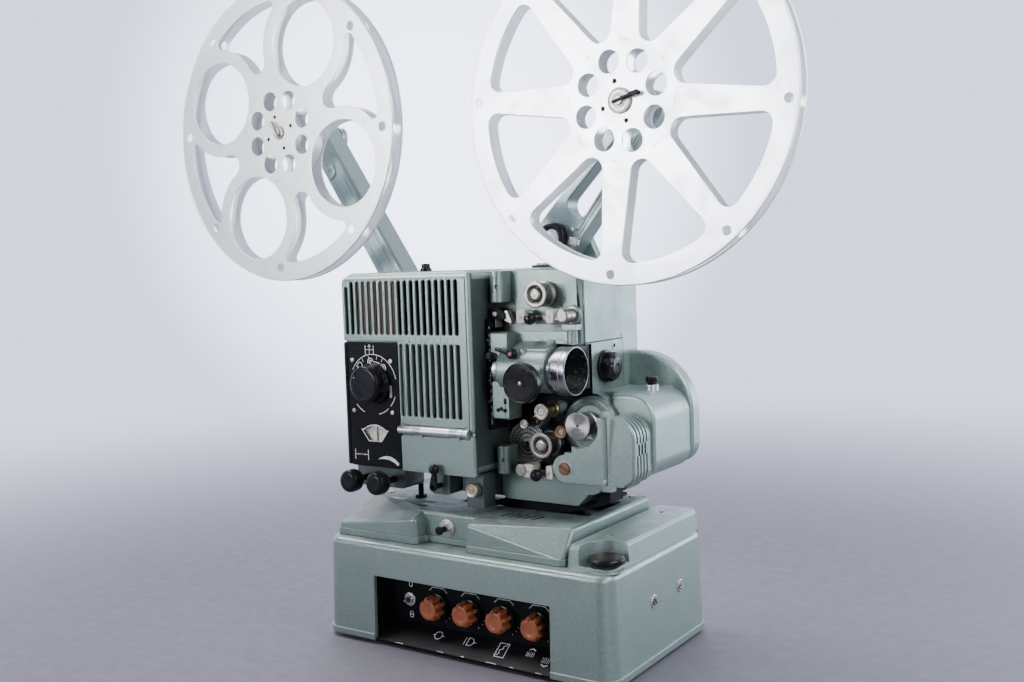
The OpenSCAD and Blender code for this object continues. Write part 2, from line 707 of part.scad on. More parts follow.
module exciter_house() place() color(green) difference() {
  union() {
    difference() {
      xz(-60, -20) rr_right(167, 199, 203, 276, 22, 16);
      // ring slots round the outer corner
      for (y = [-52, -45, -38, -31]) xz(y - 1.6, y + 1.6) difference() {
        rr_right(178, 230, 190, 300, 24, 18);
        rr_right(150, 195.4, 206.6, 272.4, 18.4, 12.4);
      }
    }
    // ears and pin of the flap
    for (z = [196.6, 276.8]) {
      cz(162, -56, z, z + 6, 4.4);
      bx(162, 171, -60, -51.6, z, z + 6);
    }
    bx(167, 172, -60, -51.6, 197, 204);
    bx(167, 172, -60, -51.6, 275, 282);
    cz(162, -56, 197, 282, 2.5);
  }
  // inside
  xz(-56, -18) rr_right(171, 191.4, 208, 268.4, 16, 10);
}

module sound_flap() place() color(green) difference() {
  union() {
    xz(-60.5, -53) difference() {
      union() {
        translate([113.5, 218]) circle(15);
        translate([113.5, 203.02]) square([44.4, 73]);
      }
      translate([132, 266]) circle(24.5);
      translate([90, 236]) square([33, 60]);
    }
    cz(162, -56, 203, 276.4, 4.4);
    bx(156, 162, -60.5, -53, 203.02, 276.02);
  }
  // shallow pocket in the back
  xz(-57.5, -50) difference() {
    union() {
      translate([113.5, 218]) circle(11.5);
      translate([113.5, 206.5]) square([40, 66]);
    }
    translate([132, 266]) circle(28);
    translate([90, 232]) square([36, 60]);
  }
  cz(162, -56, 190, 300, 2.5 + fit);
  cy(113.5, 218, -65, -50, 3.6);
}

module motor_housing() place() color(green) difference() {
  union() {
    xz(-19.8, 69.8) rr_right(151.2, 203, 205, 297, 28, 22);
    xz(-3.8, 69.8) translate([127.7, 205]) square([40, 92]);
    // base of the fuse cap
    cz(176, 30, 296, 303, 7.5);
  }
  xz(-15.8, 80) rr_right(155.2, 199, 209, 293, 24, 18);
  xz(0.2, 80) translate([131.7, 209]) square([40, 84]);
}

module shroud2d(r, d) difference() {
  union() {
    translate([137, 268]) circle(r, $fn = 96);
    translate([127.7, 232]) square([9.3 + r, 36]);
    translate([127.7, 207 + d]) square([r - 16, 60]);
    translate([112 + r, 232]) circle(25 - d);
  }
  translate([60, 150]) square([67.7 + d, 300]);
  translate([60, 100]) square([300, 107 + d]);
}
module fan_shroud() place() color(green) difference() {
  xz(70, 92) shroud2d(69, 0);
  xz(73.5, 88.5) shroud2d(65, 3.6);
  // air slots in the rear face
  for (i = [0:17]) translate([152, 0, 264]) rotate([0, 20 * i, 0]) bx(-2, 2, 86, 100, 12, 40 - (i > 10 && i < 17 ? 18 : 0));
}

module inching_knob() place() color(black) {
  translate([0, 10, axis_z]) {
    translate([131, 0, 0]) rotate([0, 90, 0]) linear_extrude(9) lobed(17.4, 7, 3.6);
    translate([128.2, 0, 0]) rotate([0, 90, 0]) cylinder(h = 3, r = 18.4);
    translate([140, 0, 0]) rotate([0, 90, 0]) cylinder(h = 4, r1 = 13.5, r2 = 11);
    translate([112, 0, 0]) rotate([0, 90, 0]) cylinder(h = 17, r = 4);
  }
}

module arm_bracket() place() {
  color(green) difference() {
    union() {
      bx(46, 116, 0, 44, head_top + 3, head_top + 5.4);
      xz(30, 42) difference() {
        union() {
          translate([piv_f[0], piv_f[1]]) circle(24);
          polygon([[48, head_top + 3], [114, head_top + 3], [96, 480], [52, 480]]);
        }
      }
      cy(piv_f[0], piv_f[1], -4, 31, 8);
    }
    cy(piv_f[0], piv_f[1], -6, 40, 2.5);
    for (x = [52, 110]) cz(x, 10, head_top, head_top + 20, 2.2);
  }
  // rubber pad
  color(black) bx(42, 120, -4, 48, head_top, head_top + 2.98);
  // shaft of the rear arm
  color(steel) {
    cy(piv_r[0], piv_r[1], 4.6, 46, 6);
    cy(piv_r[0], piv_r[1], 41, 44, 12);
    cy(piv_r[0], piv_r[1], 44, 50, 9);
  }
}

module front_arm() place() color(green) {
  translate([piv_f[0], 0, piv_f[1]]) rotate([0, -arm_f_a, 0]) difference() {
    union() {
      xz(0, 29.4) link2d(27, 19, arm_f_l);
    }
    // long window
    xz(-5, 40) translate([46, 0]) link2d(14, 9, 88);
    // stepped back
    xz(23, 40) translate([46, 0]) link2d(19, 13.4, 92);
    xz(-10, 40) circle(8 + fit);
    xz(-10, 40) translate([arm_f_l, 0]) circle(5 + fit);
    xz(-5, 3) translate([24, -17]) circle(2.2);
  }
}

module spindle(h, yb, a) color(steel) {
  difference() {
    union() {
      cy(h[0], h[1], reel_y0 - 9, yb, 5);
      cy(h[0], h[1], reel_y1 + 0.02, reel_y1 + 4, 15);
      cy(h[0], h[1], reel_y0 - 3, reel_y0 - 0.02, 13.5);
    }
    translate([h[0], 0, h[1]]) rotate([0, -a, 0]) bx(-10, 10, reel_y0 - 20, reel_y0 - 4, -1.5, 1.5);
  }
  // driving pulley behind the arm
  turn_y(h[0], h[1]) polygon([[4, yb - 10], [17, yb - 10], [17, yb - 8], [14, yb - 5], [17, yb - 2], [17, yb], [4, yb]]);
}
module front_spindle() place() spindle(hub_f, 42, 15);
module rear_spindle() place() spindle(hub_r, 51, 120);

// rounded window between two spokes: arcs at the four corners
function arc(c, r, a0, a1, n) = [for (i = [0:n]) c + r * [cos(a0 + (a1 - a0) * i / n), sin(a0 + (a1 - a0) * i / n)]];
module spoke_window(ri, ro, w0, w1, n) {
  h = 180 / n;
  // edges of the spokes are slightly tapered, so the window side is a line
  sd = [cos(h), sin(h)];
  nd = [-sin(h), cos(h)];
  rf = 12;
  r0 = ri + 10;
  ci = [ri + 16, 0];
  pi_ = sd * (ri + 20) - nd * (w0 / 2);
  po = sd * (ro - 10) - nd * (w1 / 2);
  e = (po - pi_) / norm(po - pi_);
  ea = atan2(e[1], e[0]);
  m = [-e[1], e[0]];
  // inner arc tangent to both sides
  t = (pi_[1] - 0) ;
  rin = 13;
  // centre on the axis at distance rin from the side line
  cxi = pi_[0] + (rin / cos(ea) - pi_[1]) / tan(ea) * 1;
  cin = [max(cxi, ri + rin * 0.2), 0];
  // outer corner circle: distance rf from the side and from the rim
  k = [for (s = [0:0.25:60]) let (q = po - e * (s - 20) - m * rf) if (norm(q) <= ro - rf) q][0];
  ka = atan2(k[1], k[0]);
  up = concat(arc(cin, rin, 180, 90 + ea, 6), arc(k, rf, 90 + ea, ka, 6), arc([0, 0], ro, ka, 0, 5));
  polygon(concat(up, [for (i = [len(up) - 2:-1:1]) [up[i][0], -up[i][1]]]));
}
module hub_holes(rim, d) {
  for (i = [0:7]) rotate(45 * i + 22.5) translate([43, 0]) circle(12);
  for (i = [0:7]) rotate(45 * i) translate([rim, 0]) circle(d / 2, $fn = 24);
  circle(5.06);
}
module flange_spoked() difference() {
  circle(reel_r, $fn = 128);
  for (i = [0:spokes - 1]) rotate(360 / spokes * (i + 0.5)) spoke_window(70, 167, 31, 23, spokes);
  hub_holes(reel_r - 11, 9.5);
}
module flange_round() difference() {
  circle(reel_r, $fn = 128);
  for (i = [0:round_windows - 1]) rotate(360 / round_windows * i - 21) translate([117, 0]) circle(53.5, $fn = 64);
  difference() {
    circle(167, $fn = 96);
    circle(80, $fn = 64);
    for (i = [0:round_windows - 1]) rotate(360 / round_windows * i - 21) translate([117, 0]) circle(69.5, $fn = 64);
  }
  hub_holes(reel_r - 17, 11);
}
module reel_rest() {
  // hub between the flanges, and the rolled rims
  difference() {
    cy(0, 0, reel_y0 + 1.5, reel_y1 - 1.5, 27);
    cy(0, 0, reel_y0, reel_y1, 5.1);
  }
  difference() {
    cy(0, 0, reel_y0 + 1.5, reel_y1 - 1.5, core_r);
    cy(0, 0, reel_y0, reel_y1, core_r - 1.4);
  }
  for (y = [reel_y0 + 0.4, reel_y1 - 2.2]) difference() {
    cy(0, 0, y, y + 1.8, reel_r - 0.4);
    cy(0, 0, y - 1, y + 4, reel_r - 2.4);
  }
}
module front_reel() place() color(alu) translate([hub_f[0], 0, hub_f[1]]) {
  for (y = [reel_y0, reel_y1 - 1.6]) xz(y, y + 1.6) rotate(turn_f) flange_spoked();
  reel_rest();
}
module rear_reel() place() color(alu) translate([hub_r[0], 0, hub_r[1]]) {
  for (y = [reel_y0, reel_y1 - 1.6]) xz(y, y + 1.6) rotate(turn_r) flange_round();
  reel_rest();
}

module rear_arm() place() color(green) {
  translate([piv_r[0], 0, piv_r[1]]) rotate([0, -arm_r_a, 0]) difference() {
    union() {
      xz(5, 39) link2d(19, 16.5, arm_r_l);
    }
    // open back of the cast section
    xz(9, 50) translate([42, 0]) link2d(12.6, 12, arm_r_l - 84);
    xz(0, 60) circle(6 + fit);
    xz(0, 60) translate([arm_r_l, 0]) circle(5 + fit);
  }
}

base_housing();
base_plate();
base_feet();
deck_cover();
control_panel();
base_screws();
amp_chassis();
tilt_cradle();
bushings();
volume_knob();
bass_knob();
treble_knob();
tone_knob();
toggle_lever();
push_button();
levelling_knob();
main_casting();
bearing_bosses();
lamp_house();
rear_cover();
tilt_rocker();
tilt_knob();
head_panel();
meter_dial();
meter_needle();
main_knob();
lamp_knob_a();
lamp_knob_b();
mode_lever();
lamp_door();
door_latch();
lamp();
lamp_optics();
gate_plate();
film_guides();
lens_carrier();
lens_barrel();
lens_glass();
focus_knob();
lens_lever();
upper_sprocket();
lower_sprocket();
upper_shoe();
lower_shoe();
sound_drum();
pressure_roller();
guide_roller();
tension_roller();
exciter_house();
sound_flap();
motor_housing();
fan_shroud();
inching_knob();
arm_bracket();
front_arm();
front_spindle();
front_reel();
rear_arm();
rear_spindle();
rear_reel();
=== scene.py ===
import bpy
import bmesh
import json
import math
from mathutils import Matrix, Vector
from mathutils.geometry import tessellate_polygon


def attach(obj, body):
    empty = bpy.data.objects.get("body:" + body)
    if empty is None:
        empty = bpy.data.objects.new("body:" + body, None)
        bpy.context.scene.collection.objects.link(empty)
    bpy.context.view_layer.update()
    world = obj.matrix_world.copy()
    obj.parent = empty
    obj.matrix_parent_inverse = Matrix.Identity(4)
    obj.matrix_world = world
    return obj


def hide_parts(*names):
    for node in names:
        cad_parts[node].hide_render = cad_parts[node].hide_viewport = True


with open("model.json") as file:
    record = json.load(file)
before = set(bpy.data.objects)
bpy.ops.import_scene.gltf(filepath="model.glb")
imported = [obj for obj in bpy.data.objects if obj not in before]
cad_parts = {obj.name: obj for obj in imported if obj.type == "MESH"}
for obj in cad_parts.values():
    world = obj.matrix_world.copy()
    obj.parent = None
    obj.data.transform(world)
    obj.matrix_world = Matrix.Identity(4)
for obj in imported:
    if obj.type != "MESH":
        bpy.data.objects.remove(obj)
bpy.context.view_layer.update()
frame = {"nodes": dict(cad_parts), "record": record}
NODES = frame["nodes"]
NODE_BODY = {n: b for b, ns in frame["record"]["behaviour"]["bodies"].items() for n in ns}

# All drawing below is in millimetres, with the origin on the floor under the middle of the base.
OX, OY = 53.75, 0.5


def V(x, y, z):
    return Vector(((x + OX) / 1000, (y + OY) / 1000, z / 1000))


def rad(a):
    return math.radians(a)


# ------------------------------------------------------------------ materials
class Mat:
    """A Principled material whose colour, roughness and bump come from nodes."""

    def __init__(self, name, color=(0.5, 0.5, 0.5), rough=0.5, metal=0.0, coat=0.0, coat_rough=0.1):
        self.m = bpy.data.materials.new(name)
        self.m.use_nodes = True
        self.t = self.m.node_tree
        self.t.nodes.clear()
        self.out = self.new("OutputMaterial")
        self.b = self.new("BsdfPrincipled")
        self.link(self.b.outputs[0], self.out.inputs[0])
        self.b.inputs["Base Color"].default_value = (*color, 1)
        self.b.inputs["Roughness"].default_value = rough
        self.b.inputs["Metallic"].default_value = metal
        self.b.inputs["Coat Weight"].default_value = coat
        self.b.inputs["Coat Roughness"].default_value = coat_rough
        self.co = self.new("TexCoord").outputs["Object"]

    def new(self, kind, **kw):
        n = self.t.nodes.new("ShaderNode" + kind)
        for k, v in kw.items():
            setattr(n, k, v)
        return n

    def link(self, a, b):
        self.t.links.new(a, b)

    def put(self, sock, v):
        if isinstance(v, bpy.types.NodeSocket):
            self.link(v, sock)
        else:
            sock.default_value = v

    def noise(self, scale, detail=2.0, rough=0.5, dist=0.0, vec=None, out=0):
        n = self.new("TexNoise")
        n.inputs["Scale"].default_value = scale
        n.inputs["Detail"].default_value = detail
        n.inputs["Roughness"].default_value = rough
        n.inputs["Distortion"].default_value = dist
        self.link(vec or self.co, n.inputs["Vector"])
        return n.outputs[out]

    def voro(self, scale, feature="SMOOTH_F1", smooth=0.6, vec=None):
        n = self.new("TexVoronoi", feature=feature)
        n.inputs["Scale"].default_value = scale
        if feature == "SMOOTH_F1":
            n.inputs["Smoothness"].default_value = smooth
        self.link(vec or self.co, n.inputs["Vector"])
        return n.outputs["Distance"]

    def stretch(self, sx, sy, sz, loc=(0, 0, 0)):
        n = self.new("Mapping")
        n.inputs["Scale"].default_value = (sx, sy, sz)
        n.inputs["Location"].default_value = loc
        self.link(self.co, n.inputs["Vector"])
        return n.outputs[0]

    def math(self, op, a, b=0.0, clamp=False):
        n = self.new("Math", operation=op, use_clamp=clamp)
        self.put(n.inputs[0], a)
        self.put(n.inputs[1], b)
        return n.outputs[0]

    def rng(self, v, a, b, c, d):
        n = self.new("MapRange")
        self.put(n.inputs[0], v)
        for i, x in enumerate((a, b, c, d)):
            n.inputs[1 + i].default_value = x
        return n.outputs[0]

    def mix(self, f, a, b, mode="MIX"):
        n = self.new("Mix", data_type="RGBA", blend_type=mode)
        self.put(n.inputs[0], f)
        self.put(n.inputs[6], a if not isinstance(a, tuple) or len(a) == 4 else (*a, 1))
        self.put(n.inputs[7], b if not isinstance(b, tuple) or len(b) == 4 else (*b, 1))
        return n.outputs[2]

    def up(self):
        """1 where the surface faces up."""
        g = self.new("NewGeometry")
        s = self.new("SeparateXYZ")
        self.link(g.outputs["Normal"], s.inputs[0])
        return s.outputs[2]

    def round_normal(self, r):
        n = self.new("Bevel", samples=4)
        n.inputs["Radius"].default_value = r
        return n.outputs[0]

    def edges(self, r, lo=0.03, hi=0.25):
        """1 on edges, from the difference between the rounded and the true normal."""
        g = self.new("NewGeometry")
        d = self.new("VectorMath", operation="DOT_PRODUCT")
        self.link(self.round_normal(r), d.inputs[0])
        self.link(g.outputs["Normal"], d.inputs[1])
        return self.rng(d.outputs["Value"], 1 - lo, 1 - hi, 0.0, 1.0)

    def corners(self, dist):
        n = self.new("AmbientOcclusion", samples=4)
        n.inputs["Distance"].default_value = dist
        return self.math("SUBTRACT", 1.0, n.outputs["AO"])

    def bump(self, h, strength, dist, normal=None):
        n = self.new("Bump")
        n.inputs["Strength"].default_value = strength
        n.inputs["Distance"].default_value = dist
        self.link(h, n.inputs["Height"])
        if normal is not None:
            self.link(normal, n.inputs["Normal"])
        self.link(n.outputs[0], self.b.inputs["Normal"])
        return n.outputs[0]

    def color(self, c):
        self.put(self.b.inputs["Base Color"], c)

    def rough(self, r):
        self.put(self.b.inputs["Roughness"], r)


def hammertone(name, corner_shade=0.25, top=0.0, wear=0.5, rnd=0.0009, shade=1.0):
    """Hammered enamel: small dimples with lighter centres, dull patches, chips on edges, with a painted highlight
    along the edges and painted shade in the corners; shade scales the whole colour, brighter or darker per part, as
    painted light and shade.
    """
    m = Mat(name, rough=0.36, metal=0.55, coat=0.0 if top > 0.6 else 0.12, coat_rough=0.22)

    def k(r, g, b):
        return (r * shade, g * shade, b * shade)
    shift = m.new("VectorMath", operation="MULTIPLY_ADD")
    m.link(m.noise(420, 2, out=1), shift.inputs[0])
    shift.inputs[1].default_value = (0.001, 0.001, 0.001)
    m.link(m.co, shift.inputs[2])
    cell = m.voro(760, vec=shift.outputs[0])
    fine = m.noise(1900, 3)
    big = m.noise(7, 4, 0.6)
    c = m.mix(m.rng(cell, 0.1, 0.62, 0, 1), k(0.318, 0.398, 0.372), k(0.204, 0.270, 0.248))
    c = m.mix(m.rng(fine, 0.35, 0.7, 0, 0.3), c, k(0.345, 0.418, 0.392))
    c = m.mix(m.rng(big, 0.3, 0.75, 0, 0.3), c, k(0.222, 0.284, 0.260))
    # painted shade and grime in corners, and stains that lie on what faces up
    corner_shade_and_grime = m.math("MULTIPLY", m.rng(m.corners(0.012), 0.25, 0.8, 0, 1), m.rng(m.noise(60, 3), 0.3, 0.7, 0.35, 1.0))
    c = m.mix(m.math("MULTIPLY", corner_shade_and_grime, corner_shade), c, (0.035, 0.035, 0.030))
    if top:
        st = m.math("MULTIPLY", m.rng(m.up(), 0.75, 0.97, 0, 1), m.rng(m.noise(16, 6, 0.68, 0.6), 0.38, 0.60, 0, 1))
        st2 = m.math("MULTIPLY", m.rng(m.up(), 0.75, 0.97, 0, 1), m.rng(m.noise(120, 4, 0.7), 0.56, 0.7, 0, 1))
        c = m.mix(m.math("MULTIPLY", st, top), c, (0.125, 0.12, 0.10))
        c = m.mix(m.math("MULTIPLY", st2, top * 0.6), c, (0.10, 0.092, 0.078))
        flat = m.rng(m.up(), 0.90, 0.995, 0, 1)
        m.put(m.b.inputs["Metallic"], m.rng(flat, 0, 1, 0.55, 0.55 - 0.5 * top))
        m.put(m.b.inputs["Specular IOR Level"], m.rng(flat, 0, 1, 0.5, 0.5 - 0.4 * top))
    # painted highlight: a lighter band along every edge
    rim = m.edges(0.0016, 0.02, 0.2)
    c = m.mix(m.math("MULTIPLY", rim, 0.32), c, k(0.62, 0.68, 0.66))
    speck = m.rng(m.noise(900, 4, 0.75), 0.60, 0.70, 0, 0.55)
    c = m.mix(speck, c, k(0.50, 0.56, 0.54))
    c = m.mix(m.rng(m.noise(640, 4, 0.75, vec=m.stretch(1, 1, 1, (3.0, 1.0, 2.0))), 0.60, 0.70, 0, 0.45), c, k(0.12, 0.16, 0.148))
    chip = m.math("MULTIPLY", m.edges(0.0011), m.rng(m.noise(140, 5, 0.7), 0.56, 0.66, 0, 1))
    c = m.mix(m.math("MULTIPLY", chip, wear), c, (0.46, 0.48, 0.46))
    spots = m.rng(m.noise(75, 5, 0.75), 0.705, 0.73, 0, 0.5 * wear)
    c = m.mix(spots, c, (0.10, 0.095, 0.08))
    m.color(c)
    r = m.math("ADD", m.rng(m.noise(40, 4), 0.3, 0.7, 0.28, 0.42), m.math("MULTIPLY", corner_shade_and_grime, 0.3))
    if top:
        r = m.math("ADD", r, m.math("MULTIPLY", flat, 0.4 * top))
    m.rough(r)
    h = m.math("ADD", m.math("MULTIPLY", cell, 0.8), m.math("MULTIPLY", fine, 0.12))
    m.bump(h, 0.32, 0.0008, m.round_normal(rnd))
    return m.m


def enamel_black(name, gray=0.0, rough=0.42, spec=0.07):
    m = Mat(name, rough=rough, coat=0.06, coat_rough=0.25)
    m.b.inputs["Specular IOR Level"].default_value = spec
    scr = m.noise(30, 5, 0.65, vec=m.stretch(1.0, 1.0, 14.0))
    scr2 = m.noise(45, 5, 0.65, vec=m.stretch(11.0, 1.0, 1.0, (0.3, 0, 0)))
    dust = m.noise(90, 5, 0.7)
    c = m.mix(m.rng(m.noise(12, 4), 0.3, 0.7, 0, 1), (0.004 + gray, 0.004 + gray, 0.005 + gray), (0.010 + gray, 0.010 + gray, 0.012 + gray))
    c = m.mix(m.rng(scr, 0.63, 0.72, 0, 0.10), c, (0.20, 0.20, 0.21))
    c = m.mix(m.rng(scr2, 0.66, 0.74, 0, 0.09), c, (0.20, 0.20, 0.21))
    c = m.mix(m.rng(dust, 0.62, 0.75, 0, 0.10), c, (0.14, 0.13, 0.12))
    chip = m.math("MULTIPLY", m.edges(0.0008), m.rng(m.noise(200, 4, 0.7), 0.52, 0.62, 0, 0.5))
    c = m.mix(chip, c, (0.30, 0.29, 0.28))
    m.color(c)
    m.rough(m.rng(m.noise(35, 5, 0.6), 0.3, 0.7, rough - 0.08, rough + 0.16))
    m.bump(m.math("ADD", m.noise(900, 3), m.math("MULTIPLY", scr, 0.4)), 0.06, 0.0004, m.round_normal(0.0006))
    return m.m


def bakelite(name, base=(0.004, 0.004, 0.005), hi=(0.011, 0.010, 0.011), rough=0.24):
    m = Mat(name, rough=rough, coat=0.2, coat_rough=0.12)
    m.b.inputs["Specular IOR Level"].default_value = 0.15
    c = m.mix(m.rng(m.noise(220, 4, 0.6), 0.35, 0.7, 0, 1), base, hi)
    c = m.mix(m.rng(m.noise(60, 5, 0.7), 0.6, 0.74, 0, 0.12), c, (0.15, 0.14, 0.13))
    c = m.mix(m.math("MULTIPLY", m.edges(0.0008), m.rng(m.noise(90, 4), 0.4, 0.65, 0.02, 0.16)), c, (0.20, 0.19, 0.18))
    m.color(c)
    m.rough(m.rng(m.noise(48, 4, 0.6), 0.3, 0.7, rough - 0.06, rough + 0.18))
    m.bump(m.noise(700, 3), 0.05, 0.0004, m.round_normal(0.0006))
    return m.m


def metal(name, base, dark, rough=0.3, turned=0.0, corner_shade=0.35, bev=0.0004):
    """Bare metal with tool marks, dull patches and painted shade in the corners."""
    m = Mat(name, rough=rough, metal=1.0)
    v = m.noise(60, 5, 0.65)
    c = m.mix(m.rng(v, 0.35, 0.72, 0, 1), base, tuple(0.75 * a + 0.25 * b for a, b in zip(base, dark)))
    c = m.mix(m.rng(m.noise(190, 5, 0.7), 0.60, 0.74, 0, 0.22), c, dark)
    # painted shade: darker in the corners
    g = m.math("MULTIPLY", m.rng(m.corners(0.006), 0.3, 0.85, 0, 1), corner_shade)
    c = m.mix(g, c, tuple(0.25 * a for a in dark))
    m.color(c)
    marks = m.noise(500, 3, 0.5, vec=m.stretch(1.0, 9.0, 1.0))
    m.rough(m.math("ADD", m.rng(marks, 0.3, 0.7, rough - 0.1, rough + 0.12), m.math("MULTIPLY", g, 0.3)))
    m.bump(marks, 0.05, 0.0003, m.round_normal(bev))
    return m.m


def reel_silver(name):
    """Bright stamped aluminium: fine rolling marks, rub marks and faint spots."""
    m = Mat(name, rough=0.34, metal=0.62)
    roll = m.noise(220, 4, 0.6, vec=m.stretch(1.0, 1.0, 22.0))
    rub = m.noise(22, 6, 0.72, 0.5)
    spot = m.noise(130, 5, 0.75)
    c = m.mix(m.rng(rub, 0.4, 0.72, 0, 1), (0.95, 0.955, 0.965), (0.85, 0.855, 0.87))
    c = m.mix(m.rng(spot, 0.60, 0.72, 0, 0.5), c, (0.58, 0.575, 0.57))
    # painted shade: darker in the corners and hollows
    c = m.mix(m.math("MULTIPLY", m.rng(m.corners(0.006), 0.3, 0.8, 0, 1), 0.35), c, (0.30, 0.30, 0.31))
    m.color(c)
    m.rough(m.math("ADD", m.rng(roll, 0.3, 0.7, 0.30, 0.42), m.rng(rub, 0.45, 0.7, 0, 0.1)))
    m.bump(m.math("ADD", m.math("MULTIPLY", roll, 0.5), m.math("MULTIPLY", rub, 0.6)), 0.08, 0.0006, m.round_normal(0.0005))
    return m.m


def brown_plastic(name):
    m = Mat(name, rough=0.36, coat=0.15, coat_rough=0.25)
    c = m.mix(m.rng(m.noise(70, 5, 0.65, 0.4), 0.35, 0.68, 0, 1), (0.42, 0.118, 0.045), (0.29, 0.078, 0.030))
    c = m.mix(m.rng(m.noise(240, 4, 0.7), 0.58, 0.72, 0, 0.3), c, (0.33, 0.12, 0.06))
    # painted shade: nearly black in the corners
    c = m.mix(m.math("MULTIPLY", m.rng(m.corners(0.006), 0.3, 0.85, 0, 1), 0.7), c, (0.02, 0.008, 0.005))
    c = m.mix(m.math("MULTIPLY", m.edges(0.0007), m.rng(m.noise(150, 4), 0.4, 0.65, 0.05, 0.4)), c, (0.42, 0.18, 0.10))
    m.color(c)
    m.rough(m.rng(m.noise(90, 4), 0.3, 0.7, 0.28, 0.48))
    m.bump(m.noise(600, 3), 0.06, 0.0004, m.round_normal(0.0005))
    return m.m


def rubber(name, base=(0.018, 0.018, 0.019)):
    m = Mat(name, rough=0.75)
    c = m.mix(m.rng(m.noise(120, 5, 0.7), 0.35, 0.7, 0, 1), base, (0.045, 0.043, 0.042))
    c = m.mix(m.rng(m.noise(40, 5, 0.7), 0.6, 0.75, 0, 0.4), c, (0.10, 0.095, 0.09))
    m.color(c)
    m.rough(m.rng(m.noise(80, 4), 0.3, 0.7, 0.62, 0.85))
    m.bump(m.noise(800, 4), 0.15, 0.0005)
    return m.m


def paint_mark(name, base=(0.78, 0.78, 0.76), spec=0.5):
    """Thin white marking paint, a little worn."""
    m = Mat(name, rough=0.55)
    m.b.inputs["Specular IOR Level"].default_value = spec
    c = m.mix(m.rng(m.noise(160, 5, 0.7), 0.5, 0.7, 0, 0.5), base, tuple(0.45 * a for a in base))
    m.color(c)
    m.rough(m.rng(m.noise(300, 3), 0.3, 0.7, 0.45, 0.65))
    m.bump(m.noise(900, 2), 0.05, 0.0002)
    return m.m


def glass(name, tint=(0.80, 0.86, 0.90), alpha_dark=0.0):
    m = Mat(name, color=tint, rough=0.04)
    m.b.inputs["Transmission Weight"].default_value = 0.9
    m.b.inputs["IOR"].default_value = 1.5
    m.color(m.mix(m.rng(m.noise(60, 4), 0.4, 0.7, 0, 0.15), tint, (0.6, 0.65, 0.66)))
    m.rough(m.rng(m.noise(90, 5, 0.7), 0.45, 0.75, 0.03, 0.12))
    m.bump(m.noise(40, 2), 0.02, 0.0002)
    return m.m


# one hammertone paint in lit and shaded copies: shade scales its colour as painted light and shade per part, and
# GREEN_DARK and GREEN_DIM are painted shade
GREEN = hammertone("hammertone_head", top=0.45, shade=0.90)
GREEN_BLOCK = hammertone("hammertone_block", top=0.45, shade=0.72)
GREEN_LIGHT = hammertone("hammertone_motor", top=0.2, shade=1.05)
GREEN_BASE = hammertone("hammertone_base", corner_shade=0.35, top=0.45, wear=0.8, shade=1.10)
GREEN_DECK = hammertone("hammertone_deck", corner_shade=0.4, top=0.85, wear=0.9, shade=0.96)
GREEN_DARK = hammertone("hammertone_shaded", corner_shade=0.6, wear=0.3, shade=0.33)
GREEN_DIM = hammertone("hammertone_dim", corner_shade=0.6, wear=0.3, shade=0.52)
BLACK = enamel_black("black_enamel")
GATE = enamel_black("gate_black", 0.002, 0.42)
PIT = enamel_black("sooty_black", 0.0, 0.7)
SOOT = enamel_black("soot_grey", 0.040, 0.6)
RECESS = enamel_black("recess_black", 0.0, 0.42, 0.05)
KNOB = bakelite("black_bakelite")
KNOB_WORN = bakelite("worn_bakelite", (0.014, 0.007, 0.007), (0.032, 0.016, 0.015), 0.42)
STEEL = metal("turned_steel", (0.62, 0.61, 0.59), (0.33, 0.30, 0.26), 0.3)
STEEL_DULL = metal("dull_steel", (0.40, 0.385, 0.36), (0.18, 0.155, 0.13), 0.42)
SPROCKET = metal("sprocket_steel", (0.33, 0.305, 0.27), (0.17, 0.145, 0.115), 0.34)
CHROME = metal("chrome", (0.46, 0.46, 0.48), (0.28, 0.27, 0.27), 0.30, corner_shade=0.15)
BRASS = metal("brass", (0.36, 0.28, 0.18), (0.17, 0.115, 0.07), 0.38)
COPPER = metal("copper_brown", (0.17, 0.10, 0.07), (0.08, 0.045, 0.03), 0.45)
BROWNED = metal("browned_sheet", (0.085, 0.052, 0.040), (0.04, 0.026, 0.02), 0.5)
PALE_BRASS = metal("pale_brass", (0.60, 0.53, 0.39), (0.30, 0.24, 0.15), 0.36)
ALU = metal("grey_aluminium", (0.72, 0.73, 0.73), (0.42, 0.41, 0.39), 0.36)
REEL = reel_silver("reel_silver")
BROWN = brown_plastic("brown_plastic")
RUBBER = rubber("black_rubber", (0.008, 0.008, 0.009))
WHITE = paint_mark("white_marks")
DIAL = paint_mark("dial_face", (0.80, 0.78, 0.70))
CREAM = paint_mark("cream_paint", (0.60, 0.59, 0.52))
RED = paint_mark("red_mark", (0.34, 0.085, 0.055))
GLASS = glass("clear_glass")
INK = paint_mark("dark_ink", (0.010, 0.009, 0.009), 0.15)


# ------------------------------------------------------------------ mesh tools
def finish_mesh(name, bm, mats, body, angle=38, weighted=True):
    bmesh.ops.recalc_face_normals(bm, faces=bm.faces)
    lim = rad(angle)
    for f in bm.faces:
        f.smooth = True
    for e in bm.edges:
        e.smooth = not (len(e.link_faces) == 2 and e.calc_face_angle(0) > lim)
    me = bpy.data.meshes.new(name)
    bm.to_mesh(me)
    bm.free()
    ob = bpy.data.objects.new(name, me)
    bpy.context.scene.collection.objects.link(ob)
    for m in mats if isinstance(mats, (list, tuple)) else [mats]:
        me.materials.append(m)
    if weighted:
        w = ob.modifiers.new("normals", "WEIGHTED_NORMAL")
        w.keep_sharp = True
    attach(ob, body)
    return ob


def bevel_edges(bm, edges, r, seg=2, clamp=True):
    if edges:
        bmesh.ops.bevel(bm, geom=list(edges), offset=r / 1000, segments=seg, profile=0.5, affect="EDGES", clamp_overlap=clamp, offset_type="OFFSET")


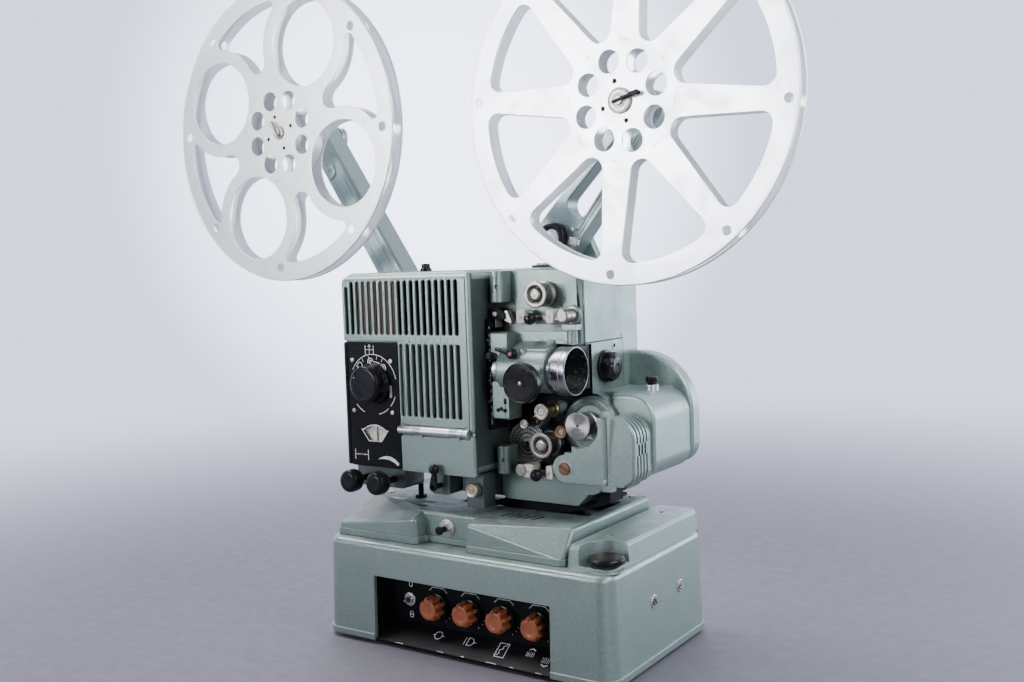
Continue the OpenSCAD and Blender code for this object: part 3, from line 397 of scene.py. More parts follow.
def sharp(bm, angle=30, faces=None):
    lim = rad(angle)
    return [e for e in bm.edges if len(e.link_faces) == 2 and e.calc_face_angle(0) > lim and (faces is None or any(f in faces for f in e.link_faces))]


def put_faces(bm, verts, faces, mi=0):
    vs = [bm.verts.new(v) for v in verts]
    made = []
    for f in faces:
        try:
            nf = bm.faces.new([vs[i] for i in f])
        except ValueError:
            continue
        nf.material_index = mi
        made.append(nf)
    return made


def basis(axis):
    """Two directions square to an axis."""
    a = Vector(axis).normalized()
    u = Vector((0, 0, 1)) if abs(a.z) < 0.9 else Vector((1, 0, 0))
    u = (u - a * u.dot(a)).normalized()
    return a, u, a.cross(u)


def lathe(bm, c, axis, prof, n=48, mi=0, lobes=None):
    """Turned form: prof is (radius, distance along the axis) in mm from point c."""
    a, u, w = basis(axis)
    c = V(*c)
    rings = []
    for r, h in prof:
        if r < 1e-6:
            rings.append([bm.verts.new(c + a * (h / 1000))])
        else:
            ring = []
            for i in range(n):
                t = 2 * math.pi * i / n
                k = r if lobes is None else lobes(r, h, t)
                ring.append(bm.verts.new(c + a * (h / 1000) + (u * math.cos(t) + w * math.sin(t)) * (k / 1000)))
            rings.append(ring)
    for p, q in zip(rings, rings[1:]):
        for i in range(n):
            j = (i + 1) % n
            if len(p) == 1 and len(q) == 1:
                continue
            if len(p) == 1:
                f = [p[0], q[i], q[j]]
            elif len(q) == 1:
                f = [p[i], q[0], p[j]]
            else:
                f = [p[i], q[i], q[j], p[j]]
            bm.faces.new(f).material_index = mi
    return rings


def soft(prof, r=0.5, n=3):
    """Rounds the corners of a profile."""
    out = [prof[0]]
    for a, b, c in zip(prof, prof[1:], prof[2:]):
        pa, pb, pc = Vector(a), Vector(b), Vector(c)
        d1, d2 = (pa - pb), (pc - pb)
        k = min(r, d1.length * 0.45, d2.length * 0.45)
        if k < 1e-4:
            out.append(b)
            continue
        s, e = pb + d1.normalized() * k, pb + d2.normalized() * k
        for i in range(n + 1):
            t = i / n
            q = s * (1 - t) ** 2 + pb * 2 * t * (1 - t) + e * t * t
            out.append((q.x, q.y))
    out.append(prof[-1])
    return out


def box(bm, x0, x1, y0, y1, z0, z1, mi=0):
    vs = [V(x, y, z) for x in (x0, x1) for y in (y0, y1) for z in (z0, z1)]
    return put_faces(bm, vs, [(0, 1, 3, 2), (4, 6, 7, 5), (0, 4, 5, 1), (2, 3, 7, 6), (0, 2, 6, 4), (1, 5, 7, 3)], mi)


def area2(lp):
    return sum(a[0] * b[1] - b[0] * a[1] for a, b in zip(lp, lp[1:] + lp[:1])) / 2


def sides(lp):
    """Direction into the material at each point of a loop whose material is on its left."""
    n = len(lp)
    out = []
    for i in range(n):
        p, q, r = Vector(lp[i - 1]), Vector(lp[i]), Vector(lp[(i + 1) % n])
        a, b = (q - p), (r - q)
        if a.length < 1e-9 or b.length < 1e-9:
            a = b = (r - p)
        a.normalize(), b.normalize()
        na, nb = Vector((-a.y, a.x)), Vector((-b.y, b.x))
        m = na + nb
        if m.length < 1e-6:
            m = na
        m.normalize()
        out.append(m / max(0.35, m.dot(na)))
    return out


PLANES = {
    "XZ": lambda u, v, w: V(u, w, v),
    "YZ": lambda u, v, w: V(w, u, v),
    "XY": lambda u, v, w: V(u, v, w),
}


def plate(bm, loops, w0, w1, r0=0.4, r1=0.4, plane="XZ", seg=3, mi=0, hole_r=None):
    """Plate between w0 and w1 with an outline and holes, whose edges are rounded by r0 and r1."""
    at = PLANES[plane] if isinstance(plane, str) else plane
    fixed = []
    for i, lp in enumerate(loops):
        lp = [tuple(p) for p in lp]
        if (area2(lp) > 0) != (i == 0):
            lp = lp[::-1]
        fixed.append(lp)
    s = 1 if w1 > w0 else -1
    caps = []
    for li, lp in enumerate(fixed):
        nm = sides(lp)
        a0, a1 = (r0, r1) if li == 0 or hole_r is None else (hole_r, hole_r)
        steps = []
        for k in range(seg + 1):
            t = math.pi / 2 * k / seg
            steps.append((a0 * (1 - math.sin(t)), w0 + s * a0 * (1 - math.cos(t))))
        for k in range(seg + 1):
            t = math.pi / 2 * k / seg
            steps.append((a1 * (1 - math.cos(t)), w1 - s * a1 * (1 - math.sin(t))))
        if a0 <= 0:
            steps = [(0, w0)] + steps[seg + 1:]
        if a1 <= 0:
            steps = steps[: -(seg + 1)] + [(0, w1)]
        rings = [[bm.verts.new(at(p[0] + m[0] * d, p[1] + m[1] * d, w)) for p, m in zip(lp, nm)] for d, w in steps]
        n = len(lp)
        for p, q in zip(rings, rings[1:]):
            for i in range(n):
                j = (i + 1) % n
                bm.faces.new((p[i], p[j], q[j], q[i])).material_index = mi
        caps.append((rings[0], rings[-1], [tuple(Vector(p) + m * steps[0][0]) for p, m in zip(lp, nm)]))
    flat = [[Vector((p[0], p[1], 0)) for p in c[2]] for c in caps]
    tris = tessellate_polygon(flat)
    for side in (0, 1):
        vs = [v for c in caps for v in c[side]]
        for t in tris:
            try:
                bm.faces.new([vs[i] for i in t]).material_index = mi
            except ValueError:
                pass


def circ(x, z, r, n=32, a0=0.0):
    return [(x + r * math.cos(rad(a0) + 2 * math.pi * i / n), z + r * math.sin(rad(a0) + 2 * math.pi * i / n)) for i in range(n)]


def rrect(x0, x1, z0, z1, r, n=6):
    """Rectangle with round corners; r is one radius or four, from the lower left going round."""
    rs = r if isinstance(r, (list, tuple)) else [r] * 4
    out = []
    for (cx, cz, a), q in zip(((x0, z0, 180), (x1, z0, 270), (x1, z1, 0), (x0, z1, 90)), rs):
        mx = cx + q if cx == x0 else cx - q
        mz = cz + q if cz == z0 else cz - q
        if q < 1e-6:
            out.append((cx, cz))
        else:
            out += [(mx + q * math.cos(rad(a + 90 * i / n)), mz + q * math.sin(rad(a + 90 * i / n))) for i in range(n + 1)]
    return out


def arc_pts(cx, cz, r, a0, a1, n=12):
    return [(cx + r * math.cos(rad(a0 + (a1 - a0) * i / n)), cz + r * math.sin(rad(a0 + (a1 - a0) * i / n))) for i in range(n + 1)]


def stroke(bm, pts, width, at, w0, w1, closed=False, mi=0):
    """A drawn line of even width as a thin solid; at(u, v, w) places it."""
    n = len(pts)
    L, R = [], []
    for i, p in enumerate(pts):
        a = Vector(pts[i - 1]) if (closed or i > 0) else Vector(p)
        b = Vector(pts[(i + 1) % n]) if (closed or i < n - 1) else Vector(p)
        p = Vector(p)
        d1, d2 = p - a, b - p
        if d1.length < 1e-9:
            d1 = d2
        if d2.length < 1e-9:
            d2 = d1
        d1.normalize(), d2.normalize()
        m = Vector((-d1.y, d1.x)) + Vector((-d2.y, d2.x))
        m.normalize()
        m /= max(0.4, m.dot(Vector((-d1.y, d1.x))))
        L.append(p + m * width / 2)
        R.append(p - m * width / 2)
    top = [[bm.verts.new(at(q.x, q.y, w1)) for q in s] for s in (L, R)]
    bot = [[bm.verts.new(at(q.x, q.y, w0)) for q in s] for s in (L, R)]
    for i in range(n if closed else n - 1):
        j = (i + 1) % n
        for f in ((top[0][i], top[0][j], top[1][j], top[1][i]), (bot[0][i], bot[1][i], bot[1][j], bot[0][j]), (top[0][i], bot[0][i], bot[0][j], top[0][j]), (top[1][i], top[1][j], bot[1][j], bot[1][i])):
            bm.faces.new(f).material_index = mi
    if not closed:
        for i in (0, n - 1):
            bm.faces.new((top[0][i], top[1][i], bot[1][i], bot[0][i])).material_index = mi


def screw(bm, c, axis, r=3.0, h=1.2, turn=0.0, slot=0.8, mi=0, dome=0.35):
    """Slotted screw head that stands h above point c along axis: two D-shaped halves over a floor."""
    a, u, w = basis(axis)
    c = V(*c)
    ct, st = math.cos(rad(turn)), math.sin(rad(turn))
    U, W = u * ct + w * st, w * ct - u * st

    def at(x, y, z):
        return c + (U * x + W * y + a * z) / 1000

    for s in (-1, 1):
        lim = math.asin(min(0.95, slot / 2 / r))
        lp = [(r * math.cos(lim + (math.pi - 2 * lim) * i / 14), s * r * math.sin(lim + (math.pi - 2 * lim) * i / 14)) for i in range(15)]
        plate(bm, [lp], 0, h, 0.0, min(dome, h * 0.45), plane=at, seg=2, mi=mi)
    plate(bm, [circ(0, 0, r * 0.97, 24)], 0, h * 0.45, 0, 0.05, plane=at, seg=1, mi=mi)


def cad_copy(node):
    bm = bmesh.new()
    bm.from_mesh(NODES[node].data)
    bmesh.ops.remove_doubles(bm, verts=bm.verts, dist=2e-6)
    bmesh.ops.dissolve_degenerate(bm, dist=1e-6, edges=bm.edges)
    bmesh.ops.dissolve_limit(bm, angle_limit=rad(0.4), use_dissolve_boundaries=False, verts=bm.verts, edges=bm.edges, delimit=set())
    bmesh.ops.recalc_face_normals(bm, faces=bm.faces)
    return bm


def mid(e):
    p = (e.verts[0].co + e.verts[1].co) * 500
    return p.x - OX, p.y - OY, p.z


def recast(node, mat, rules=(), small=0.4, angle=30, name=None, smooth=38, extra=None, seg=2):
    """A finer copy of a CAD node whose edges are rounded. rules are (test(x, y, z, edge), radius, segments), with a fourth
    entry where the radius is not held back by short neighbours."""
    bm = cad_copy(node)
    done = []
    for rule in rules:
        test, r, sg = rule[:3]
        es = [e for e in sharp(bm, angle) if e.is_convex and test(*mid(e), e)]
        bevel_edges(bm, es, r, sg, len(rule) < 4)
    if small:
        es = [e for e in sharp(bm, 40) if e.is_convex and e.calc_length() > 0.0006]
        bevel_edges(bm, es, small, seg)
    if extra:
        extra(bm)
    ob = finish_mesh(name or node + "_form", bm, mat, NODE_BODY[node], angle=smooth)
    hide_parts(node)
    return ob


def dress(node, mat, smooth=35):
    """Keeps a CAD node as it is and gives it a material."""
    o = NODES[node]
    o.data.materials.clear()
    o.data.materials.append(mat)
    return o


def make(name, mats, body, fn, angle=38, stands_for=()):
    """Builds one piece with fn(bm) and hangs it on a body."""
    bm = bmesh.new()
    fn(bm)
    ob = finish_mesh(name, bm, mats, body, angle=angle)
    if stands_for:
        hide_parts(*stands_for)
    return ob


FRONT = (0, -1, 0)
XZ, YZ, XY = PLANES["XZ"], PLANES["YZ"], PLANES["XY"]


def on_front(y):
    """Marks on a face that looks to -Y: (x, z, height of the mark)."""
    return lambda u, v, w: V(u, y - w, v)


def tint(bm, test, mi):
    """Gives the faces whose middle passes the test another material."""
    for f in bm.faces:
        c = f.calc_center_median() * 1000
        if test(c.x - OX, c.y - OY, c.z):
            f.material_index = mi


def lobe(n, depth, power=1.0, phase=0.0):
    """Outline with n scallops of the given depth."""
    def f(r, h, t):
        k = 0.5 + 0.5 * math.cos(n * t + rad(phase))
        return r - depth * k ** power
    return f


def tube(bm, pts, r, n=10, mi=0):
    """Round bar along a path of row-frame points."""
    rings = []
    for i, p in enumerate(pts):
        a = (pts[min(i + 1, len(pts) - 1)] - pts[max(i - 1, 0)])
        a, u, w = basis(a)
        rings.append([bm.verts.new(p + (u * math.cos(2 * math.pi * k / n) + w * math.sin(2 * math.pi * k / n)) * (r / 1000)) for k in range(n)])
    for p, q in zip(rings, rings[1:]):
        for k in range(n):
            j = (k + 1) % n
            bm.faces.new((p[k], p[j], q[j], q[k])).material_index = mi
    for ring in (rings[0], rings[-1]):
        bm.faces.new(ring).material_index = mi


# ------------------------------------------------------------------ base
def outer_top(x, y, z, e):
    return 110 < z < 123 and not (-63 < x < 111 and -77 < y < 91)


recast("base_housing", GREEN_BASE, [
    (lambda x, y, z, e: 114 < z < 122 and (abs(x) > 186 or abs(y) > 107), 2.8, 4, 1),
    (lambda x, y, z, e: 139 < z < 146 and x > 136, 1.6, 3),
    (lambda x, y, z, e: 4 < z < 13 and (abs(x) > 196 or abs(y) > 115), 0.8, 2),
], small=0.7)
recast("deck_cover", [GREEN_DECK, INK], [
    (lambda x, y, z, e: z > 150 and -63 < x < 119 and -23 < y < 59, 0.8, 2),
    (lambda x, y, z, e: z > 128 and not (24 < x < 86 and -74 < y < -38) and not (-64 < x < 120 and -24 < y < 60), 1.7, 3),
], small=0.4, extra=lambda bm: tint(bm, lambda x, y, z: 24 < x < 86 and -72 < y < -40 and 147 < z < 157.9, 1))
recast("base_plate", BLACK, small=0.4)
recast("base_feet", RUBBER, small=0.8)
dress("amp_chassis", STEEL_DULL)
recast("tilt_cradle", BLACK, small=0.6)


def deck_edge(bm):
    # rolled flange along the lower edge of the deck sheet
    path = [(-190.2, 100), (-190.2, -93)] + arc_pts(-185, -94, 5.2, 180, 270, 5)[1:] + [(-75, -99.2)] + arc_pts(-74, -94, 5.2, 270, 360, 5)[1:]
    path += [(-68.8, -83)] + [(-66, -80.2), (1, -80.2)] + [(3.8, -83), (3.8, -94)] + arc_pts(9, -95, 5.2, 180, 270, 5)[1:] + [(127, -100.2)]
    path += arc_pts(128, -95, 5.2, 270, 360, 5)[1:] + [(133.2, 97)]
    stroke(bm, path, 3.0, XY, 121.7, 129.0)
    bevel_edges(bm, sharp(bm, 40), 1.1, 3)
    # dark gap under it
    stroke(bm, path, 2.4, XY, 121.05, 121.75, mi=1)


make("deck_flange", [GREEN_DECK, INK], "base", deck_edge)


def apron_at(u, v, w):
    """Apron of the control recess: v runs down the slope from its upper edge."""
    L = math.hypot(27, 19)
    ny, nz = -19 / L, 27 / L
    return V(u, -90 - 27 * v / L + ny * w, 25 - 19 * v / L + nz * w)


recast("control_panel", RECESS, small=0.5)


def panel_marks(bm):
    f = on_front(-90)
    for i in range(4):
        x = -46 + 46.5 * i
        # open trapezoid over each knob
        stroke(bm, [(x - 13, 65.6), (x - 8, 70.4), (x + 8, 70.4), (x + 13, 65.6)], 0.6, f, 0, 0.1)
        for a in (-130, -115, 115, 130, 150, -150):
            c, s = math.sin(rad(a)), math.cos(rad(a))
            stroke(bm, [(x + 19 * c, 50 + 19 * s), (x + 21.2 * c, 50 + 21.2 * s)], 0.6, f, 0, 0.1)
    # ring over and double ring under the toggle
    stroke(bm, rrect(-89.2, -84.8, 66.5, 73.5, 2.1, 5), 0.8, f, 0, 0.1, closed=True)
    stroke(bm, rrect(-89.4, -84.6, 29.5, 36.8, 2.1, 5), 0.8, f, 0, 0.1, closed=True)
    stroke(bm, [(-89, 33.2), (-85, 33.2)], 0.7, f, 0, 0.1)


make("panel_marks", WHITE, "base", panel_marks, angle=60)


def apron_marks(bm):
    # plain figures on the slope
    f = apron_at
    stroke(bm, [(-40 + 5.0 * math.cos(rad(a)), 12 + 5.0 * math.sin(rad(a))) for a in range(0, 360, 20)], 0.9, f, 0, 0.1, closed=True)
    stroke(bm, [(-47.5, 12), (-45, 12)], 0.9, f, 0, 0.1)
    stroke(bm, [(-35, 12), (-31.5, 12)], 0.9, f, 0, 0.1)
    d = [(2, 17), (2, 7)] + [(5 + 5 * math.cos(rad(a)), 12 + 5 * math.sin(rad(a))) for a in range(-90, 91, 20)]
    stroke(bm, d, 0.9, f, 0, 0.1, closed=True)
    stroke(bm, [(10, 12), (14, 12)], 0.9, f, 0, 0.1)
    stroke(bm, [(-2, 17), (-2, 7)], 0.9, f, 0, 0.1)
    # small frame with a curve in it
    stroke(bm, [(44, 5), (56, 5), (56, 23), (44, 23)], 0.8, f, 0, 0.1, closed=True)
    stroke(bm, [(46, 21), (48, 18), (47, 14), (51, 12), (50, 9), (54, 7)], 0.9, f, 0, 0.1)
    for k in range(5):
        stroke(bm, [(42.2, 7 + 3.4 * k), (43.4, 7 + 3.4 * k)], 0.6, f, 0, 0.1)
    # hatched signs, high and low
    for x0, v0, s in ((82, 5, 1), (104, 12, -1)):
        for k in range(5):
            stroke(bm, [(x0 + 2.2 * k, v0 + (4 if s > 0 else 0)), (x0 + 2.2 * k, v0 + (10 if s > 0 else 7))], 0.7, f, 0, 0.1)
        stroke(bm, [(x0 + 1, v0 + (1.5 if s > 0 else 9)), (x0 + 5, v0 + (-0.5 if s > 0 else 11)), (x0 + 9, v0 + (1.5 if s > 0 else 9))], 1.4, f, 0, 0.1)


make("apron_marks", WHITE, "base", apron_marks, angle=60)


def scuffs(bm):
    # bare scuff along the edge of the slope
    L = math.hypot(27, 19)
    for x, w in ((-30, 9), (4, 4), (38, 14), (70, 5), (103, 8), (-92, 12)):
        stroke(bm, [(x, L - 0.5), (x + w * 0.4, L - 0.9), (x + w, L - 0.4)], 0.5, apron_at, 0, 0.06)


make("apron_scuffs", STEEL_DULL, "base", scuffs, angle=60)

for i, n in enumerate(("volume_knob", "bass_knob", "treble_knob", "tone_knob")):
    x = -46 + 46.5 * i

    def knob(bm, x=x, i=i):
        c = (x, -92, 50)
        lob = lobe(8, 4.6, 1.9, 22 * i)

        def shape(r, h, t):
            return lob(r, h, t) * (r / 14.2) if r > 8.4 and 3.4 < h < 19 else r
        lathe(bm, c, FRONT, soft([(0, 18.4), (5.6, 18.4), (7.0, 19.3), (9.2, 19.5), (11.4, 19.2), (13.6, 17.2), (14.2, 14.5), (14.2, 4.4), (13.6, 3.6), (3, 3.6), (3, -17), (0, -17)], 0.7, 3), 96, 0, shape)
        lathe(bm, c, FRONT, soft([(0, 3.4), (13.2, 3.4), (15.2, 2.6), (15.2, 0.4), (14.6, 0.1), (0, 0.1)], 0.5, 2), 48, 1)
        # pointer line and its fastening hole
        a = rad(118 - 9 * i)
        stroke(bm, [(x + 8.0 * math.cos(a), 50 + 8.0 * math.sin(a)), (x + 11.2 * math.cos(a), 50 + 11.2 * math.sin(a))], 1.3, on_front(-111.2), 0, 0.25, mi=2)
        stroke(bm, [(x + 13.4 * math.cos(a), 50 + 13.4 * math.sin(a)), (x + 15.0 * math.cos(a), 50 + 15.0 * math.sin(a))], 1.0, on_front(-94.7), 0, 0.9, mi=2)
    make(n + "_form", [BROWN, KNOB, INK], n, knob, 34, (n,))


def toggle_bush(bm):
    lathe(bm, (-87, -90, 52), FRONT, soft([(3.6, 0), (3.6, 6.4), (5.0, 6.4), (5.0, 3.6), (8.0, 3.2), (8.6, 2.4), (8.6, 0.1), (3.6, 0.1)], 0.4, 2), 48, 0, lambda r, h, t: r * (1 + 0.012 * math.cos(24 * t)) if r > 7.5 else r)
    lathe(bm, (-87, -84, 52), FRONT, [(0, 0), (3.7, 0.0), (3.7, 6.0)], 24, 1)
    box(bm, -94.4, -79.6, -83.9, -67, 44.6, 59.4, 1)


make("toggle_bushing", [STEEL, BLACK], "base", toggle_bush)


def toggle(bm):
    lathe(bm, (-87, -88, 52), FRONT, soft([(0, -1.6), (1.7, -1.6), (1.4, 0), (1.5, 10), (2.0, 11.6), (2.1, 13.2), (1.5, 14.6), (0, 15)], 0.5, 3), 24)


make("toggle_lever_form", STEEL_DULL, "toggle_lever", toggle, 38, ("toggle_lever",))


def button_bush(bm):
    c = (-37, -80.1, 140)
    lathe(bm, c, FRONT, soft([(3.6, -16), (3.6, 5.4), (5.8, 5.4), (5.8, 2.6), (8.2, 2.5), (8.6, 1.6), (10.4, 1.4), (10.6, 0.1), (5.8, 0.1), (5.8, -16), (3.6, -16)], 0.35, 2), 48, 0)


ob = make("button_bushing", STEEL, "base", button_bush, 38, ("bushings",))


def button(bm):
    c = (-37, -80, 140)
    lathe(bm, c, FRONT, soft([(0, 17.2), (4.3, 17.2), (5.0, 16.4), (5.0, 13.6), (3.5, 12.6), (3.5, -20), (0, -20)], 0.6, 3), 36)


make("push_button_form", KNOB, "push_button", button, 38, ("push_button",))


def levelling(bm):
    c = (178, -88, 0)
    lathe(bm, c, (0, 0, 1), soft([(0, 135.0), (15.8, 135.0), (16.8, 135.2), (18.2, 135.0), (19.8, 133.6), (20.0, 131.5), (19.4, 129.4), (16, 127.6), (10, 126), (5, 126), (5, 84), (0, 84)], 0.5, 3), 96, 0, lambda r, h, t: r - (0.35 * (0.5 + 0.5 * math.cos(48 * t)) if r > 19 else 0))
    lathe(bm, c, (0, 0, 1), [(0, 135.05), (15.6, 135.05), (15.7, 134.9)], 48, 1)


make("levelling_knob_form", [KNOB, KNOB_WORN], "levelling_knob", levelling, 38, ("levelling_knob",))


def level_washer(bm):
    lathe(bm, (178, -88, 0), (0, 0, 1), soft([(5.4, 122.6), (19.5, 122.6), (20.0, 122.0), (20.0, 121.05), (5.4, 121.05)], 0.4, 2), 48)


make("levelling_washer", GREEN_BASE, "base", level_washer)


def base_bolts(bm):
    for y, t in ((-18.8, 35), (46.8, 100)):
        lathe(bm, (196.6, y, 71), (1, 0, 0), soft([(4.2, -4), (7.6, -0.6), (7.6, 0.8), (6.9, 1.4), (4.6, 1.4), (4.4, 0.6)], 0.3, 2), 32, 0)
        screw(bm, (197.6, y, 71), (1, 0, 0), 4.4, 1.7, t, 1.1, 1, 0.7)
        lathe(bm, (197.7, y, 71), (1, 0, 0), [(0, 0.2), (4.2, 0.2), (4.2, -3)], 24, 0)
    for y, t in ((-46, 20), (77, 70)):
        lathe(bm, (160, y, 143.4), (0, 0, 1), soft([(3.4, -4), (3.4, 0.6), (6.0, 1.7), (6.4, 1.7), (6.4, 1.0)], 0.2, 2), 32, 0)
        screw(bm, (160, y, 142.6), (0, 0, 1), 3.3, 1.3, t, 0.9, 2, 0.4)
    for (x, y), t in zip(((-172, -20), (-172, 88), (116, 88)), (15, 60, 110)):
        screw(bm, (x, y, 158.0), (0, 0, 1), 4.0, 1.9, t, 1.0, 2, 0.9)


make("base_fasteners", [STEEL, SPROCKET, STEEL_DULL], "base", base_bolts, 38, ("base_screws",))

# ------------------------------------------------------------------ head: castings
# the strap of the rocker gets the shaded green copy: painted shade
recast("tilt_rocker", [BLACK, GREEN_DARK], [
    (lambda x, y, z, e: y < -46 and x < 11, 3.0, 4),
], small=0.6, extra=lambda bm: tint(bm, lambda x, y, z: y < -46.5 and x < 11 and z > 172, 1))


def inside_house(x, y, z):
    return -174.6 < x < 10.6 and -82.6 < y < -3.4 and 216.4 < z < 434.6


def house_tints(bm):
    tint(bm, inside_house, 1)
    # shaded pods under the house, and the wall beside the film gate
    tint(bm, lambda x, y, z: z < 206.5, 2)
    tint(bm, lambda x, y, z: x > 13.9 and -85 < y < -30, 2)


recast("lamp_house", [GREEN, PIT, GREEN_DARK], [
    (lambda x, y, z, e: y < -85.5 and y > -86.5 and z > 425 and x < 8, 6.0, 5, 1),
    (lambda x, y, z, e: y < -85.5 and y > -86.5 and x < -165 and z > 200, 4.0, 4, 1),
    (lambda x, y, z, e: y > -0.6 and y < 0.6 and (z > 425 or x < -165), 4.0, 4, 1),
    (lambda x, y, z, e: y < -89.5 and x > 13.5, 3.4, 5, 1),
    (lambda x, y, z, e: y < -89.5 and x > 8, 1.2, 3),
    (lambda x, y, z, e: y < -89.5 and z < 250, 2.4, 4),
    (lambda x, y, z, e: z < 214 and y < -45, 1.6, 2),
], small=0.5, extra=house_tints)


def casting_tints(bm):
    tint(bm, lambda x, y, z: 20.4 < x < 121.6 and -12.9 < y < 53.5 and 180.5 < z < 431.5, 1)
    # floor and walls of the film recess
    tint(bm, lambda x, y, z: x < 152 and -36.4 < y < -18.6 and 205.5 < z < 352.5, 1)


recast("main_casting", [GREEN_BLOCK, PIT], [
    (lambda x, y, z, e: y < -36.5 and x > 119 and z > 353, 6.0, 6, 1),
    (lambda x, y, z, e: y < -36.5 and z > 430, 4.0, 4, 1),
    (lambda x, y, z, e: y < -36.5 and z < 200, 3.0, 3),
    (lambda x, y, z, e: x > 140 and z < 299, 2.0, 3),
], small=0.5, extra=casting_tints)
recast("bearing_bosses", [GREEN, STEEL], small=0.5, extra=lambda bm: tint(bm, lambda x, y, z: z > 352 and 114.8 < x < 121.2 and -46.2 < y < -39.8, 1)) if "bearing_bosses" in NODES else None
recast("rear_cover", GREEN, [
    (lambda x, y, z, e: y > 91.5 and not (19 < x < 124.5 and 175 < z < 434), 3.0, 4),
], small=0.5)
# the lower part of the guides (under z 300) gets the dim green copy: painted shade
recast("film_guides", [GREEN, GREEN_DIM], small=1.2, seg=3, extra=lambda bm: tint(bm, lambda x, y, z: z < 300, 1))
recast("gate_plate", GATE, small=0.3)
recast("motor_housing", [GREEN_LIGHT, ALU], [
    (lambda x, y, z, e: y < -19 and x > 150, 4.0, 5, 1),
    (lambda x, y, z, e: z > 295 and x < 152 and y < -2, 2.0, 3),
], small=0.6, extra=lambda bm: tint(bm, lambda x, y, z: z > 297.2, 1))
recast("fan_shroud", GREEN_LIGHT, [
    (lambda x, y, z, e: (y < 70.5 or y > 91.5) and math.hypot(x - 152, z - 262) > 45, 4.5, 5, 1),
], small=0.6)
recast("exciter_house", GREEN, [
    (lambda x, y, z, e: y < -59.5 and 179 < x and 203.5 < z < 275.5, 3.0, 4, 1),
], small=0.5)
recast("sound_flap", GREEN, [
    (lambda x, y, z, e: y < -60.2, 1.6, 3),
], small=0.4)


def cover_plate(bm):
    # cover of the front end with its corner screw, and the ring hole under it
    plate(bm, [rrect(-33.5, 53.4, 353.6, 432.5, 2.0, 4)], 127.4, 128.5, 0, 0.7, "YZ", 3, 0)
    screw(bm, (128.3, 49.5, 357.8), (1, 0, 0), 2.2, 0.8, 30, 0.7, 1, 0.3)
    lathe(bm, (127.5, 32, 346), (1, 0, 0), soft([(2.7, -2), (2.7, 0.7), (4.6, 0.7), (4.9, 0.1)], 0.3, 2), 32, 1)
    lathe(bm, (127.5, 32, 346), (1, 0, 0), [(0, -1.0), (2.7, -1.0)], 24, 2)


make("head_end_cover", [GREEN_BLOCK, STEEL_DULL, INK], "head", cover_plate)


def seams(bm):
    # dark joint lines between covers
    for y0, y1, z0, z1 in ((-34.5, 53.9, 352.7, 353.5), (53.95, 54.5, 176, 436)):
        box(bm, 127.3, 127.62, y0, y1, z0, z1)
    box(bm, 127.62, 150.5, -3.95, -3.55, 296.9, 297.06)


make("cover_joints", INK, "head", seams, angle=60)


# ------------------------------------------------------------------ head: door and panel
def door_at(u, v, w):
    """Door sheet: flat up to z 426, then curled over the top of the house."""
    if v <= 426:
        return V(u, w, v)
    t, q = (v - 426) / 10, -80 - w
    return V(u, -80 - q * math.cos(t), 426 + q * math.sin(t))


def door(bm):
    top = 426 + 10 * rad(74)
    out = arc_pts(-89.6, 262.6, 3, 180, 270, 4) + arc_pts(5, 262.6, 3, 270, 360, 4)
    out += [(8, 426), (8, 428), (8, 430), (8, 432), (8, 434)] + arc_pts(5.5, top - 2.5, 2.5, 0, 90, 4)
    out += arc_pts(-165, top - 12, 12, 90, 180, 12) + [(-177, 426)] + arc_pts(-174, 360.2, 3, 180, 270, 4) + [(-93.4, 357.2), (-92.6, 356.4)]
    holes = [rrect(-173.7 + 9.2 * i, -168.3 + 9.2 * i, 364.6, 428.3, 2.6, 5) for i in range(1, 19)]
    holes += [rrect(-173.2, -167.9, 364.6, 422, 2.5, 5)]
    holes += [rrect(-90.3 + 9.2 * i, -84.9 + 9.2 * i, 269.5, 354.4, 2.6, 5) for i in range(10)]
    plate(bm, [out] + holes, -86.3, -90, 0.3, 1.0, door_at, 4, 0, hole_r=1.1)
    # sooty ribs behind the sheet
    for i in range(18):
        x0, x1 = -167.9 + 9.2 * i + 0.5, -164.9 + 9.2 * i - 0.5
        if x1 < 1.2 and x0 > -167.9:
            plate(bm, [rrect(x0, x1, 364.2, 424.6, 0.8, 2)], -87.2, -85.2, 0, 0.4, "XZ", 1, 1)
    for i in range(9):
        x0, x1 = -84.5 + 9.2 * i + 0.5, -81.5 + 9.2 * i - 0.5
        plate(bm, [rrect(x0, x1, 269.0, 354.8, 0.8, 2)], -87.2, -85.2, 0, 0.4, "XZ", 1, 1)
    # dark backing behind the first slot: painted shade
    box(bm, -174.6, -167.6, -86.29, -86.1, 363.5, 424, 1)
    # joints of the strips between the two rows, and the small notches under them
    f = on_front(-90)
    for i in range(9, 18):
        x = -167.9 + 9.2 * i + 1.5
        stroke(bm, [(x, 355.6), (x, 363.4)], 0.5, f, -0.1, 0.03, mi=1)
    for i in range(18):
        x = -167.9 + 9.2 * i + 1.5
        stroke(bm, [(x - 0.5, 361.4), (x + 0.5, 361.4)], 1.0, f, -0.1, 0.04, mi=1)
    for i in range(9):
        x = -84.5 + 9.2 * i + 1.5
        stroke(bm, [(x - 0.5, 266.4), (x + 0.5, 266.4)], 1.0, f, -0.1, 0.04, mi=1)
    # barrels at both ends of the rod, and their leaves
    for x0, x1 in ((-93.4, -85.6), (1.0, 8.0)):
        lathe(bm, (x0, -91, 254), (1, 0, 0), soft([(0, 0), (4.9, 0), (4.9, x1 - x0), (0, x1 - x0)], 0.6, 3), 32, 2)
        box(bm, x0 + 1, x1 - 0.8, -90, -87.4, 255, 262)
    lathe(bm, (-90, -91, 254), (1, 0, 0), [(0, 0), (3.4, 0), (3.4, 96), (0, 96)], 24, 2)


